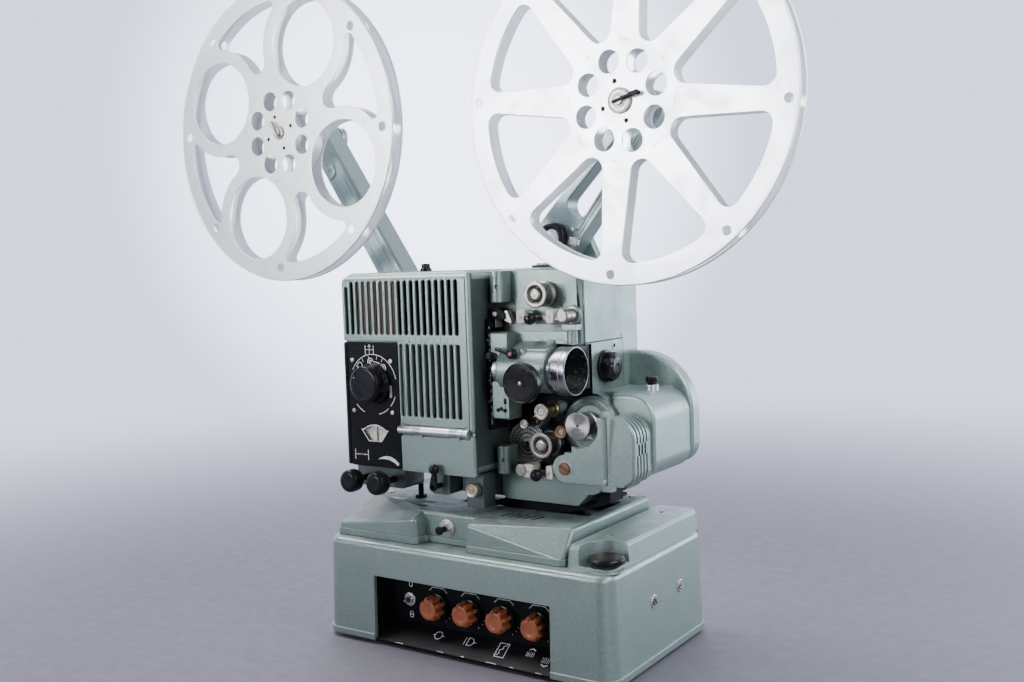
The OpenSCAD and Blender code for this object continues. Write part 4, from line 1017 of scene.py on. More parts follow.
make("lamp_door_form", [GREEN, SOOT, ALU], "lamp_door", door, 38, ("lamp_door",))


def door_baffle(bm):
    # perforated inner sheet behind the lower louvres; its pale dots are painted light where light shows through the
    # perforations
    plate(bm, [rrect(-87.6, -0.5, 268, 352, 3, 3)], -83.2, -82.6, 0, 0.2, "XZ", 1, 0)
    k = 7
    for i in range(10):
        for j in range(26):
            k = (k * 1103515245 + 12345) % 2147483648
            if (k >> 8) % 100 < 34:
                x, z = -88.6 + 9.2 * i + ((k >> 16) % 100) * 0.02, 272 + 3.1 * j + ((k >> 20) % 10) * 0.1
                lathe(bm, (x, -83.2, z), FRONT, [(0, 0.16), (0.32 + 0.03 * ((k >> 12) % 10), 0.1), (0.7, 0)], 8, 1)


make("door_baffle", [SOOT, ALU], "lamp_door", door_baffle, angle=60)


def door_rod(bm):
    # long knuckle of the house, between the barrels of the door
    lathe(bm, (-85.2, -91, 254), (1, 0, 0), soft([(3.7, 0), (5.0, 0), (5.0, 85.8), (3.7, 85.8)], 0.5, 3), 40, 0)
    box(bm, -84, -0.5, -91, -85.5, 249.2, 251.6, 1)
    # notches over the tube
    for x in (-82.5, -5.5):
        box(bm, x - 2.2, x + 2.2, -90.6, -86.2, 257.0, 259.3, 2)


make("door_tube", [ALU, GREEN, INK], "head", door_rod)


def heat_sheet(bm):
    # browned heat shield behind the left louvres
    plate(bm, [rrect(-170, -96, 360, 431, 2, 2)], -82.2, -81.4, 0.2, 0.2, "XZ", 1, 0)
    for x in (-160, -145, -130, -115):
        box(bm, x, x + 1.2, -82.8, -82.1, 362, 429)


make("heat_shield", BROWNED, "head", heat_sheet)


def skirt(bm):
    # skirt under the house, between the knobs and the rocker: a sheet in the shaded green copy, painted shade
    plate(bm, [rrect(-74, 13.6, 173.5, 205.5, 2, 3)], -29.5, -33, 0.3, 1.0, "XZ", 2, 0)
    lathe(bm, (-30, -33, 190), FRONT, soft([(0, 2.4), (5, 2.4), (6, 1.6), (6, 0)], 0.4, 2), 28, 1)


make("head_skirt", [GREEN_DARK, BLACK], "head", skirt)


def recess_back(bm):
    # green wall behind the lens, over the black film chamber, in the dim green copy: painted shade
    plate(bm, [rrect(20.5, 124, 302, 351.6, 2, 3)], -19.0, -20.2, 0, 0.5, "XZ", 2, 0)


make("recess_wall", GREEN_DIM, "head", recess_back)

WIN = [(-142.8, 237.2), (-123.2, 237.2), (-112.6, 250.4)] + arc_pts(-133, 228, 28.6, 52, 128, 10) + [(-153.4, 250.4)]


def panel(bm):
    plate(bm, [rrect(-171.6, -93.6, 206, 356, 2.4, 5), WIN], -86.05, -89.9, 0.1, 0.7, "XZ", 3, 0, hole_r=0.25)
    # strip round the left corner
    plate(bm, [rrect(-179.4, -172.3, 206, 356, 2.6, 4)], -76, -89.6, 0.3, 3.2, "XZ", 5, 1)
    # four screws in the panel
    for x, z, t in ((-164.5, 334, 20), (-104.5, 334, 75), (-164.5, 273, 140), (-104.5, 273, 55)):
        screw(bm, (x, -89.85, z), FRONT, 2.5, 1.0, t, 0.7, 2, 0.5)


make("head_panel_form", [BLACK, KNOB, STEEL], "head", panel, 38, ("head_panel",))


def panel_signs(bm):
    f = on_front(-89.9)
    c = (-132.5, 305.5)
    stroke(bm, arc_pts(*c, 36, 152, 12, 40), 0.75, f, 0, 0.1)
    stroke(bm, arc_pts(*c, 36, -22, -44, 8), 0.75, f, 0, 0.1)
    stroke(bm, arc_pts(*c, 36, -52, -78, 8), 0.75, f, 0, 0.1)
    stroke(bm, arc_pts(*c, 37, 222, 246, 8), 0.75, f, 0, 0.1)
    for a in (63, 78, 100, 118, 140):
        k, s = math.cos(rad(a)), math.sin(rad(a))
        stroke(bm, [(c[0] + 30.5 * k, c[1] + 30.5 * s), (c[0] + 34.5 * k, c[1] + 34.5 * s)], 0.55, f, 0, 0.1)
    # open ring, double ring, double ring
    x, z = -152.6, 328
    stroke(bm, arc_pts(x, z, 3.6, -50, 230, 20), 0.9, f, 0, 0.1)
    stroke(bm, [(x - 2.4, z - 2.9), (x - 4.6, z - 3.6)], 0.9, f, 0, 0.1)
    stroke(bm, [(x + 2.4, z - 2.9), (x + 4.6, z - 3.6)], 0.9, f, 0, 0.1)
    for x, z in ((-135.6, 332.6), (-116.4, 325.6)):
        stroke(bm, circ(x, z, 4.2, 28), 0.9, f, 0, 0.1, closed=True)
        stroke(bm, circ(x, z, 1.7, 20), 1.1, f, 0, 0.1, closed=True)
    # bars and arrow over the scale
    for x in (-143, -130.2):
        stroke(bm, [(x, 340.6), (x, 352)], 0.7, f, 0, 0.1)
    stroke(bm, [(-143, 347), (-130.2, 347)], 0.5, f, 0, 0.1)
    stroke(bm, [(-136.6, 352), (-136.6, 341.5)], 0.6, f, 0, 0.1)
    stroke(bm, [(-138.8, 350.4), (-136.6, 353), (-134.4, 350.4)], 0.6, f, 0, 0.1)
    # two bars at the lower left
    for x in (-165.6, -145):
        stroke(bm, [(x, 213.5), (x, 226)], 0.9, f, 0, 0.1)
    stroke(bm, [(-165.6, 220), (-158, 220)], 0.6, f, 0, 0.1)
    stroke(bm, [(-152.6, 220), (-145, 220)], 0.6, f, 0, 0.1)
    for x in (-160.5, -157, -153.6, -150):
        stroke(bm, [(x, 219), (x, 221)], 0.7, f, 0, 0.1)
    # rim of the meter window
    stroke(bm, WIN, 1.1, f, 0, 0.12, closed=True)
    # crescent wedge
    top = [(-129.5, 215.6), (-124, 218.6), (-117, 220.2), (-110, 219.9), (-103.4, 217.4), (-97.2, 212.6)]
    low = [(-98.8, 209.4), (-104, 213.0), (-111, 215.7), (-118, 216.6), (-124.5, 216.3)]
    plate(bm, [(top + low)[::-1]], 0, 0.1, 0, 0, lambda u, v, w: V(u, -89.9 - w, v), 1, 0)


make("head_panel_signs", WHITE, "head", panel_signs, angle=60)


def panel_tab(bm):
    plate(bm, [rrect(-107.2, -103.6, 290.4, 305.4, 1.7, 4)], -89.8, -91.0, 0, 0.5, "XZ", 2, 0)
    # brass edge over the skirt of the knob
    stroke(bm, arc_pts(-131, 307, 25.6, 66, 94, 10), 1.2, on_front(-89.9), 0, 0.5, mi=1)


make("panel_tab", [ALU, PALE_BRASS], "head", panel_tab)


def dial(bm):
    plate(bm, [rrect(-158, -108, 228, 264, 1, 2)], -83.55, -84.3, 0, 0.1, "XZ", 1, 0)
    f = on_front(-84.3)
    for k in range(9):
        a = rad(50 + 10 * k)
        r1 = 21.6 if k % 2 else 22.6
        stroke(bm, [(-133 + 18.6 * math.cos(a), 232 + 18.6 * math.sin(a)), (-133 + r1 * math.cos(a), 232 + r1 * math.sin(a))], 0.5, f, 0, 0.08, mi=1)
    stroke(bm, arc_pts(-133, 232, 18.6, 48, 132, 18), 0.4, f, 0, 0.08, mi=1)
    stroke(bm, arc_pts(-133, 232, 12.6, 58, 122, 12), 0.4, f, 0, 0.08, mi=1)
    for k, a in enumerate((62, 82, 100, 120)):
        stroke(bm, [(-133 + 14.4 * math.cos(rad(a)), 232 + 14.4 * math.sin(rad(a))), (-133 + 16.8 * math.cos(rad(a + 3)), 232 + 16.8 * math.sin(rad(a + 3)))], 0.8, f, 0, 0.08, mi=1)
    lathe(bm, (-133, -84.2, 232), FRONT, soft([(0, 1.6), (1.4, 1.6), (1.4, 0), (0, 0)], 0.2, 2), 16, 1)


make("meter_dial_form", [DIAL, INK], "head", dial, 50, ("meter_dial",))


def needle(bm):
    lathe(bm, (-133, -84.65, 232), FRONT, soft([(1.6, 0), (1.6, 1.1), (3, 1.1), (3, 0), (1.6, 0)], 0.2, 2), 24)
    plate(bm, [[(-133.7, 234.4), (-132.3, 234.4), (-132.85, 256), (-133.15, 256)]], -84.85, -85.5, 0.05, 0.05, "XZ", 1)


make("meter_needle_form", INK, "meter_needle", needle, 38, ("meter_needle",))


def main_dial(bm):
    c = (-131, -90, 307)
    fine = lambda r, h, t: r - (0.3 * (0.5 + 0.5 * math.cos(60 * t)) if 21.2 < r < 22.3 and 6 < h < 18.5 else 0)
    lathe(bm, c, FRONT, soft([(0, 20.1), (15.5, 20.5), (18.8, 20.4), (21.0, 19.4), (22.0, 17.4), (21.7, 7.6), (22.0, 5.2), (23.4, 4.6), (24.4, 3.4), (24.4, 0.9), (23.4, 0.4), (4, 0.4), (4, -20), (0, -20)], 0.8, 4), 120, 0, fine)
    # pointer nose on the skirt and its line
    plate(bm, [[(-132.4, 327), (-129.6, 327), (-130.3, 333), (-131.7, 333)]], -90.6, -94.6, 0.3, 0.5, "XZ", 2, 0)
    stroke(bm, [(-131, 326.4), (-131, 332.2)], 0.7, on_front(-94.6), 0, 0.1, mi=1)
    # worn green spot of the printed face
    lathe(bm, (-144.5, -110.4, 315), FRONT, [(0, 0.12), (1.5, 0.06), (2.2, -0.12)], 16, 2)


make("main_knob_form", [KNOB, WHITE, GREEN], "main_knob", main_dial, 38, ("main_knob",))

for n, x in (("lamp_knob_a", -153), ("lamp_knob_b", -112)):
    def small_knob(bm, x=x):
        c = (x, -98, 192)
        lathe(bm, c, FRONT, soft([(0, 22.6), (7.2, 22.9), (10.4, 22.6), (12.8, 21.0), (13.7, 18.2), (13.7, 9.6), (12.2, 6.2), (8.4, 2.4), (6.6, 0.6), (4, 0), (4, -34), (0, -34)], 0.9, 4), 96, 0, lambda r, h, t: r - (0.25 * (0.5 + 0.5 * math.cos(40 * t)) if r > 13 else 0))
    make(n + "_form", KNOB, n, small_knob, 38, (n,))


def mode(bm):
    lathe(bm, (-41, -80, 191), FRONT, soft([(0, 19.4), (3.0, 19.4), (3.0, -18), (0, -18)], 0.4, 2), 24, 1)
    plate(bm, [[(-41 + 5 * math.cos(rad(a)), 191 + 5 * math.sin(rad(a))) for a in range(174, 355, 12)] + [(-36.6, 206), (-42.2, 206.6)]], -95.5, -99.4, 0.6, 0.8, "XZ", 3, 0)
    lathe(bm, (-39.3, -97.5, 205.2), (0, 0, 1), soft([(0, 12.4), (2.6, 12.1), (4.8, 10.6), (6.0, 7.8), (6.0, 5.2), (4.6, 2.2), (3.0, 0.8), (2.2, -1), (0, -1)], 0.8, 3), 32, 0)


make("mode_lever_form", [KNOB, BLACK], "mode_lever", mode, 38, ("mode_lever",))


def tilt(bm):
    c = (0, -71.4, 187)
    lathe(bm, c, FRONT, soft([(0, 9.2), (5.2, 9.2), (6.8, 10.0), (7.9, 9.2), (8.4, 7.8), (8.4, 0.9), (7.6, 0), (3, 0), (3, -21), (0, -21)], 0.5, 3), 96, 0, lambda r, h, t: r - (0.35 * (0.5 + 0.5 * math.cos(32 * t)) if r > 8.2 else 0))
    screw(bm, (0, -80.55, 187), FRONT, 3.6, 1.2, 65, 0.9, 1, 0.5)


make("tilt_knob_form", [PALE_BRASS, BRASS], "tilt_knob", tilt, 38, ("tilt_knob",))


def latch(bm):
    c = (-60, -72, 0)
    lathe(bm, c, (0, 0, 1), soft([(0, 446.9), (3.9, 446.9), (4.9, 446.2), (5.2, 445.0), (5.2, 441.2), (3, 440.9), (3, 424), (0, 424)], 0.5, 3), 36)


make("door_latch_form", KNOB, "door_latch", latch, 38, ("door_latch",))


def latch_collar(bm):
    lathe(bm, (-60, -72, 0), (0, 0, 1), soft([(5.5, 437.6), (5.5, 441.4), (5.9, 441.8), (6.6, 441.2), (7.2, 438.4), (7.2, 437.6)], 0.4, 2), 36)


make("door_latch_collar", KNOB, "head", latch_collar)
dress("lamp", GLASS)
dress("lamp_optics", ALU)

# ------------------------------------------------------------------ head: lens and film path
recast("lens_carrier", [GREEN, INK], [
    (lambda x, y, z, e: x < 47 and y < -65 and 268 < z < 368, 1.6, 3),
    (lambda x, y, z, e: x > 97 and math.hypot(y + 50, z - 324.4) > 24, 1.0, 3),
], small=0.6, extra=lambda bm: tint(bm, lambda x, y, z: math.hypot(y + 50, z - 324.4) < 20.9 and 24.5 < x < 97.5, 1))


def carrier_trim(bm):
    # hinged flap plate of the carrier with its screws
    plate(bm, [rrect(25.2, 41.5, 270.6, 311.6, 1.2, 3)], -65.9, -67.0, 0, 0.4, "XZ", 2, 0)
    for x, z, t in ((32.2, 279.6, 10), (36.6, 281.2, 80), (41.2, 279.2, 130)):
        lathe(bm, (x, -66.9, z), FRONT, soft([(0, 0.3), (1.1, 0.3), (1.1, 0.8), (2.3, 0.7), (2.4, -0.3)], 0.2, 2), 20, 2)
    # slot over the screws
    plate(bm, [rrect(39.9, 42.8, 286.2, 293.2, 1.4, 4)], -66.0, -67.3, 0, 0.2, "XZ", 2, 2)
    # bright ring screw
    lathe(bm, (29.6, -66, 320), FRONT, soft([(2.0, 0.4), (2.0, 1.6), (3.9, 1.5), (4.4, 0.2)], 0.4, 3), 32, 1)
    lathe(bm, (29.6, -66, 320), FRONT, soft([(0, 1.0), (2.0, 1.0)], 0.1, 2), 24, 3)
    # round eye of the clamp beside the lever
    lathe(bm, (66.5, -64, 344.6), FRONT, soft([(0, 4), (3.6, 4), (4.2, 3), (4.2, -4)], 0.5, 3), 24, 0)
    lathe(bm, (93, -48, 356), (0, -0.6, 0.8), soft([(0, 1.5), (4.5, 1.5), (5.2, 0.5), (5.2, -6)], 0.5, 3), 32, 0)
    # rounded shell of the tube, and the web that joins it to the arm
    lathe(bm, (0, -50, 324.4), (1, 0, 0), soft([(21.2, 34.6), (22.8, 34.2), (24.4, 34.8), (25.2, 36.4), (25.35, 38.6), (25.35, 95.6), (24.8, 97.4), (22.6, 98.3), (21.2, 98.3)], 0.5, 4), 96, 0)
    plate(bm, [[(-41, 340), (-41, 356.5), (-47.2, 356.5), (-50.5, 353.4), (-55.5, 351.0), (-60.5, 348.6), (-62.5, 340)]], 46.5, 95.5, 0.5, 1.5, "YZ", 3, 0)


make("lens_carrier_trim", [GREEN, STEEL, INK, COPPER], "lens_carrier", carrier_trim)


def gate_knob(bm):
    lathe(bm, (26.5, -66, 341), FRONT, soft([(0, 9.4), (3.4, 9.4), (4.4, 8.6), (4.6, 4.0), (3.6, 2.4), (2.4, 1.6), (2.4, 0.1), (0, 0.1)], 0.4, 3), 28, 0)


make("gate_release", KNOB, "lens_carrier", gate_knob)


def gate_trim(bm):
    # worn film rails and small blocks of the gate
    for z in range(262, 378, 9):
        box(bm, 20.3, 21.4, -64.2, -62.9, z, z + 3.6 + (z * 7 % 5), 1)
    box(bm, 16.4, 22.6, -65.4, -62.0, 366, 371, 0)
    for z in (288, 312, 340, 358):
        lathe(bm, (18.0, -62.9, z), FRONT, soft([(0, 0.9), (1.5, 0.9), (1.7, 0.4), (1.7, -0.4)], 0.2, 2), 16, 2)
    # spring and pad at the top of the gate
    plate(bm, [[(17, 381.6), (38, 381.6), (38, 388), (30, 394), (17, 394)]], -42, -58, 0.3, 0.5, "XZ", 2, 0)
    plate(bm, [[(36, 380), (44.5, 375.5), (46, 378.5), (40, 391), (36.5, 391)]], -46, -55, 0.3, 0.6, "XZ", 2, 2)
    lathe(bm, (26, -58, 387.5), FRONT, soft([(0, 2), (2.6, 2), (3.0, 1.4), (3.0, -1)], 0.4, 2), 20, 2)
    box(bm, 24.2, 25.4, -56, -44, 372, 381.6, 2)


make("gate_trim", [GATE, STEEL, STEEL_DULL], "head", gate_trim)


def barrel(bm):
    c = (0, -50, 324.4)
    lathe(bm, c, (1, 0, 0), soft([(20.9, 28), (20.9, 105.0), (24.8, 105.4), (26.6, 106.8), (26.9, 109), (26.9, 117.6), (26.3, 118.0), (26.3, 118.8), (26.9, 119.2), (27.1, 124.6), (26.6, 125.8), (26.0, 126.0), (25.4, 125.6)], 0.3, 3), 96, 0)
    ridges = []
    n = 22
    for i in range(n + 1):
        x = 125.2 - i * 0.95
        r = 25.3 - (125.2 - x) * 0.375
        ridges += [(r, x), (r - 0.55, x - 0.42)]
    lathe(bm, c, (1, 0, 0), [(25.5, 125.7)] + ridges + [(17, 104), (17, 30), (20.9, 28)], 96, 1)
    # two set screws in the ring
    for a in (215, 262):
        ny, nz = math.cos(rad(a)), math.sin(rad(a))
        screw(bm, (113.5, -50 + 26.6 * ny, 324.4 + 26.6 * nz), (0, ny, nz), 1.7, 0.6, 20, 0.5, 2, 0.2)


make("lens_barrel_form", [CHROME, BLACK, STEEL_DULL], "lens_barrel", barrel, 38, ("lens_barrel",))
dress("lens_glass", GLASS)


def focus(bm):
    c = (90, -86, 316)
    lathe(bm, c, FRONT, soft([(2.4, 22.7), (10, 22.8), (18.4, 23.0), (19.0, 22.5), (19.6, 22.5), (20.2, 23.3), (21.4, 23.2), (22.2, 21.8), (22.2, 14.4), (20.8, 12.4), (12, 11.4), (9, 8), (8, 1), (4, 0.5), (4, -15), (0, -15)], 0.7, 4), 120, 0, lambda r, h, t: r - (0.3 * (0.5 + 0.5 * math.cos(56 * t)) if r > 22 and h < 21 else 0))
    lathe(bm, c, FRONT, soft([(0, 23.5), (1.4, 23.5), (2.3, 22.9), (2.4, 21.5)], 0.4, 3), 20, 1)


make("focus_knob_form", [KNOB, CHROME], "focus_knob", focus, 38, ("focus_knob",))


def lens_clamp(bm):
    c = Vector((58, 344))
    d = Vector((math.cos(rad(166)), math.sin(rad(166))))
    n = Vector((-d.y, d.x))
    lathe(bm, (58, -67, 344), FRONT, soft([(0, 11.6), (3.2, 11.4), (5.4, 10.2), (6.2, 8.2), (6.2, 4.4), (2.5, 4.4), (2.5, 0), (0, 0)], 0.7, 3), 32, 0)
    out = [c + n * 3.4, c + d * 12 + n * 2.0, c + d * 17 + n * 2.8, c + d * 22.5 + n * 2.0, c + d * 23.4, c + d * 22.5 - n * 2.0, c + d * 17 - n * 2.8, c + d * 12 - n * 2.0, c - n * 3.4]
    plate(bm, [[tuple(p) for p in out]], -71.6, -76.2, 0.6, 1.0, "XZ", 3, 0)
    lathe(bm, (58, -78.3, 344), FRONT, soft([(0, 0.5), (2.0, 0.4), (2.5, -0.3)], 0.2, 2), 20, 1)


make("lens_lever_form", [KNOB, RED], "lens_lever", lens_clamp, 38, ("lens_lever",))


def sprocket(bm, x, z, yb):
    c = (x, 0, z)
    a = (0, 1, 0)
    lathe(bm, c, a, soft([(0, -63.0), (4.2, -63.0), (5.8, -62.6), (6.6, -61.8), (6.6, -60.2), (7.4, -59.8), (9.0, -59.8), (9.8, -61.4), (10.8, -62.1), (13.6, -62.1), (14.6, -61.5), (14.6, -59.8), (13.1, -58.8), (13.1, -57.4), (12.7, -57.2), (12.7, -44.6), (13.1, -44.4), (13.1, -43.2), (14.6, -42.2), (14.6, -39.2), (13.8, -38.9), (4, -38.9), (4, yb), (0, yb)], 0.35, 2), 72, 0)
    lathe(bm, c, a, [(9.0, -59.85), (6.65, -60.1)], 48, 2)
    lathe(bm, c, a, soft([(0, -63.3), (1.6, -63.3), (2.1, -62.8)], 0.2, 2), 6, 1)
    for k in range(12):
        t = 2 * math.pi * k / 12
        for y0 in (-58.4,):
            u, w = Vector((math.sin(t), math.cos(t))), Vector((math.cos(t), -math.sin(t)))
            q = []
            for rr_, h in ((12.6, 0.75), (14.2, 0.65), (15.1, 0.3)):
                for s in (-1, 1):
                    for y in (y0, y0 + 1.6):
                        q.append(V(x + u.x * rr_ + w.x * h * s, y, z + u.y * rr_ + w.y * h * s))
            put_faces(bm, q, [(0, 1, 5, 4), (4, 5, 9, 8), (2, 6, 7, 3), (6, 10, 11, 7), (0, 4, 6, 2), (4, 8, 10, 6), (1, 3, 7, 5), (5, 7, 11, 9), (8, 9, 11, 10)], 0)


make("upper_sprocket_form", [SPROCKET, STEEL_DULL, INK], "upper_sprocket", lambda bm: sprocket(bm, 82.5, 408.6, -27), 32, ("upper_sprocket",))
make("lower_sprocket_form", [SPROCKET, STEEL_DULL, INK], "lower_sprocket", lambda bm: sprocket(bm, 84, 241.5, -8), 32, ("lower_sprocket",))


def shoe(bm, px, pz, c, pads, yb):
    # pads, spring bar, pivot with its steel sleeve, ball grip
    for i, (a, b) in enumerate(pads):
        plate(bm, [rrect(c + a, c + b, pz - 7.6, pz + 7.2, 1.6, 4)], -45, -61, 0.5, 0.8, "XZ", 3, 0)
        screw(bm, (c + (a + b) / 2, -60.9, pz - 0.5), FRONT, 1.9, 0.6, 40 + 60 * i, 0.5, 1, 0.2)
    x0, x1 = min(c + pads[0][0], px), max(c + pads[1][1], px)
    plate(bm, [rrect(x0, x1, pz - 5, pz, 0.6, 2)], -48, -58, 0.3, 0.4, "XZ", 2, 2)
    lathe(bm, (px, 0, pz), (0, 1, 0), soft([(0, -62), (6.0, -62), (7.6, -61), (7.6, -53.5), (6.9, -53.1), (6.9, -52.3), (7.6, -51.9), (7.6, -42.2), (3.5, -41.8), (3.5, yb), (0, yb)], 0.4, 3), 40, 2)
    lathe(bm, (px, 0, pz), (0, 1, 0), [(7.0, -53.2), (7.0, -52.2)], 40, 3)
    lathe(bm, (c - 3, -57.5, pz - 2.5), FRONT, soft([(0, 18.2), (2.8, 17.8), (5.2, 16.0), (6.8, 12.6), (6.9, 10.6), (6.2, 7.6), (4.6, 5.0), (2.8, 3.6), (2.2, 2.4), (2.2, -0.4)], 0.8, 3), 36, 3)


make("upper_shoe_form", [CREAM, STEEL_DULL, SPROCKET, KNOB], "upper_shoe", lambda bm: shoe(bm, 116, 385, 82.5, [(-26, -14), (13, 22)], -27), 38, ("upper_shoe",))
make("lower_shoe_form", [CREAM, STEEL_DULL, SPROCKET, KNOB], "lower_shoe", lambda bm: shoe(bm, 56, 212, 84, [(-25, -12), (5, 13)], -8), 38, ("lower_shoe",))


def shoe_boss(bm):
    # green boss behind the pivot of the upper shoe
    lathe(bm, (116, -36.9, 385), FRONT, soft([(3.8, 4.2), (9.0, 4.2), (10.4, 3.6), (11.2, 2.0), (11.4, 0)], 0.8, 3), 40, 0)
    lathe(bm, (82.5, -36.9, 408.6), FRONT, soft([(4.2, 1.6), (9.6, 1.5), (11.4, 0.6), (11.6, 0)], 0.6, 3), 36, 0)


make("film_path_bosses", GREEN, "head", shoe_boss)


def grille(bm):
    # round radial grille on the floor of the film recess; its slats get the white marking paint, a painted highlight
    # on slats that lie in shade
    f = on_front(-18.95)
    x, z = 39, 234.5
    plate(bm, [circ(x, z, 26.4, 56), circ(x, z, 2.6, 24)], 0.0, 0.6, 0, 0.1, f, 1, 0)
    for r0, r1, n, w in ((8.6, 12.4, 40, 0.6), (13.4, 17.0, 50, 0.6), (18.0, 21.4, 60, 0.6), (22.4, 25.8, 70, 0.6)):
        for k in range(n):
            a = 2 * math.pi * k / n + r0
            stroke(bm, [(x + r0 * math.cos(a), z + r0 * math.sin(a)), (x + r1 * math.cos(a + 0.05), z + r1 * math.sin(a + 0.05))], w, f, 0.5, 1.1, mi=1)
    plate(bm, [circ(x, z, 7.6, 32), circ(x, z, 2.6, 24)], 0.4, 1.6, 0, 0.4, f, 2, 2)


make("radial_grille", [GATE, WHITE, STEEL_DULL], "head", grille, angle=60)


def drum_disc(bm):
    # flywheel cover behind the sound drum, in the dim green copy: painted shade
    lathe(bm, (129, -19, 259.5), FRONT, soft([(5, 10.6), (24, 10.6), (25, 11.4), (31.5, 11.4), (33.6, 10.8), (34.6, 9.4), (34.8, 7.6), (34.8, 0.1)], 0.8, 4), 96, 0)


make("drum_disc", GREEN_DIM, "head", drum_disc)


def slot_bridge(bm):
    # bridge across the ring slots of the exciter house
    plate(bm, [rrect(-54.2, -28.8, 236, 249, 0.6, 2)], 195.2, 199.0, 0, 0.4, "YZ", 2, 0)
    # joint lines of the slots' solid rims
    for y in (-48.5, -41.5, -34.5):
        box(bm, 198.9, 199.04, y - 0.2, y + 0.2, 236.4, 248.6, 1)


make("slot_bridge", [GREEN, INK], "head", slot_bridge)


def lower_grid(bm):
    # small vent grid under the grille
    f = on_front(-18.95)
    plate(bm, [rrect(28, 54, 207.5, 222, 2, 3)], 0, 0.5, 0, 0.1, f, 1, 0)
    for i in range(7):
        for j in range(4):
            x, z = 30.5 + 3.5 * i + (1.7 if j % 2 else 0), 210 + 3.2 * j
            stroke(bm, [(x, z), (x + 1.3, z + 1.3)], 1.1, f, 0.4, 0.9, mi=1)


make("vent_grid", [GATE, STEEL_DULL], "head", lower_grid, angle=60)


def drum_metal():
    m = Mat("drum_steel", rough=0.34, metal=1.0)
    m.b.inputs["Anisotropic"].default_value = 0.75
    t = m.new("Tangent", direction_type="RADIAL", axis="Y")
    m.link(t.outputs[0], m.b.inputs["Tangent"])
    c = m.mix(m.rng(m.noise(200, 5, 0.6), 0.35, 0.7, 0, 1), (0.34, 0.315, 0.315), (0.25, 0.23, 0.225))
    m.color(c)
    m.rough(m.rng(m.noise(70, 4), 0.3, 0.7, 0.27, 0.42))
    m.bump(m.noise(700, 2), 0.03, 0.0002)
    return m.m


DRUM = drum_metal()


def drum(bm):
    c = (132, 0, 266)
    lathe(bm, c, (0, 1, 0), soft([(1.3, -61.9), (1.5, -62.5), (14.8, -62.5), (15.5, -61.9), (15.5, -59.6), (12.2, -58.4), (12.0, -57.8), (12.0, -42.4), (13, -41), (13, -37.2), (4, -37), (4, -8), (0, -8)], 0.3, 2), 96, 0)
    lathe(bm, c, (0, 1, 0), [(0, -61.2), (1.35, -61.2)], 16, 1)


make("sound_drum_form", [DRUM, INK], "sound_drum", drum, 34, ("sound_drum",))


def roller(bm, x, z, r, y0, mi_side, turn):
    c = (x, 0, z)
    lathe(bm, c, (0, 1, 0), soft([(r * 0.46, y0 + 1.3), (r * 0.5, y0 + 0.2), (r - 0.9, y0), (r, y0 + 0.8), (r, y0 + 3), (r - 1.5, y0 + 4.2), (r - 1.6, y0 + 5)], 0.35, 3), 56, 0)
    mid_y = (y0 - 38) / 2
    lathe(bm, c, (0, 1, 0), soft([(r - 1.6, y0 + 4.9), (r - 1.6, mid_y), (r - 2.0, mid_y + 0.3), (r - 2.0, mid_y + 1.2), (r - 1.6, mid_y + 1.5), (r - 1.6, -43.8), (r, -42.4), (r, -38.4), (2.5, -37.6), (2.5, -8), (0, -8)], 0.3, 2), 56, mi_side)
    screw(bm, (x, y0 + 1.6, z), FRONT, r * 0.44, 1.0, turn, max(0.5, r * 0.11), 2, 0.3)
    lathe(bm, c, (0, 1, 0), [(r * 0.5, y0 + 1.4), (0, y0 + 1.4)], 24, 3)


make("pressure_roller_form", [SPROCKET, BRASS, STEEL_DULL, INK], "pressure_roller", lambda bm: roller(bm, 88, 280, 9, -66, 1, 80), 36, ("pressure_roller",))
make("guide_roller_form", [SPROCKET, COPPER, STEEL_DULL, INK], "guide_roller", lambda bm: roller(bm, 63.6, 264.6, 5.4, -64, 1, 20), 36, ("guide_roller",))
make("tension_roller_form", [COPPER, COPPER, BRASS, INK], "tension_roller", lambda bm: roller(bm, 109, 258, 7.4, -60, 1, 50), 36, ("tension_roller",))


def flap_bolt(bm):
    c = (113.5, -60.4, 218)
    lathe(bm, c, FRONT, soft([(7.2, 0.2), (7.6, 1.0), (8.6, 0.9), (9.0, 0)], 0.3, 2), 48, 1)
    screw(bm, (113.5, -60.3, 218), FRONT, 7.1, 2.6, 62, 1.5, 0, 1.0)


make("sound_flap_bolt", [COPPER, STEEL_DULL], "sound_flap", flap_bolt)


def exciter_screw(bm):
    # small screw at the foot of the joint
    screw(bm, (163.2, -60.0, 207.6), FRONT, 2.0, 0.6, 30, 0.5, 0, 0.2)


make("exciter_screw", STEEL, "head", exciter_screw)


def fuse_cap(bm):
    c = (176, 30, 303)
    lathe(bm, c, (0, 0, 1), soft([(0, 9.6), (4.6, 9.6), (6.4, 8.8), (7.0, 7.4), (7.0, 3.2), (5.6, 2.2), (5.4, 0.1)], 0.6, 3), 48, 0, lambda r, h, t: r - (0.35 * (0.5 + 0.5 * math.cos(20 * t)) if r > 6.5 else 0))


make("fuse_cap", KNOB, "head", fuse_cap)


def inching(bm):
    c = (128.2, 10, 324.4)
    lob = lobe(7, 3.2, 0.9, 20)

    def shape(r, h, t):
        return lob(r, h, t) if 2.9 < h < 12 and r > 12 else r
    lathe(bm, c, (1, 0, 0), soft([(0, 14.8), (3.2, 14.8), (3.4, 15.8), (8.5, 15.8), (11.0, 15.4), (12.4, 13.6), (15.6, 12.0), (17.4, 9.6), (17.4, 3.0), (18.4, 2.6), (18.4, 0.2), (17.8, 0), (4, 0), (4, -16), (0, -16)], 0.7, 3), 112, 0, shape)


make("inching_knob_form", KNOB, "inching_knob", inching, 36, ("inching_knob",))

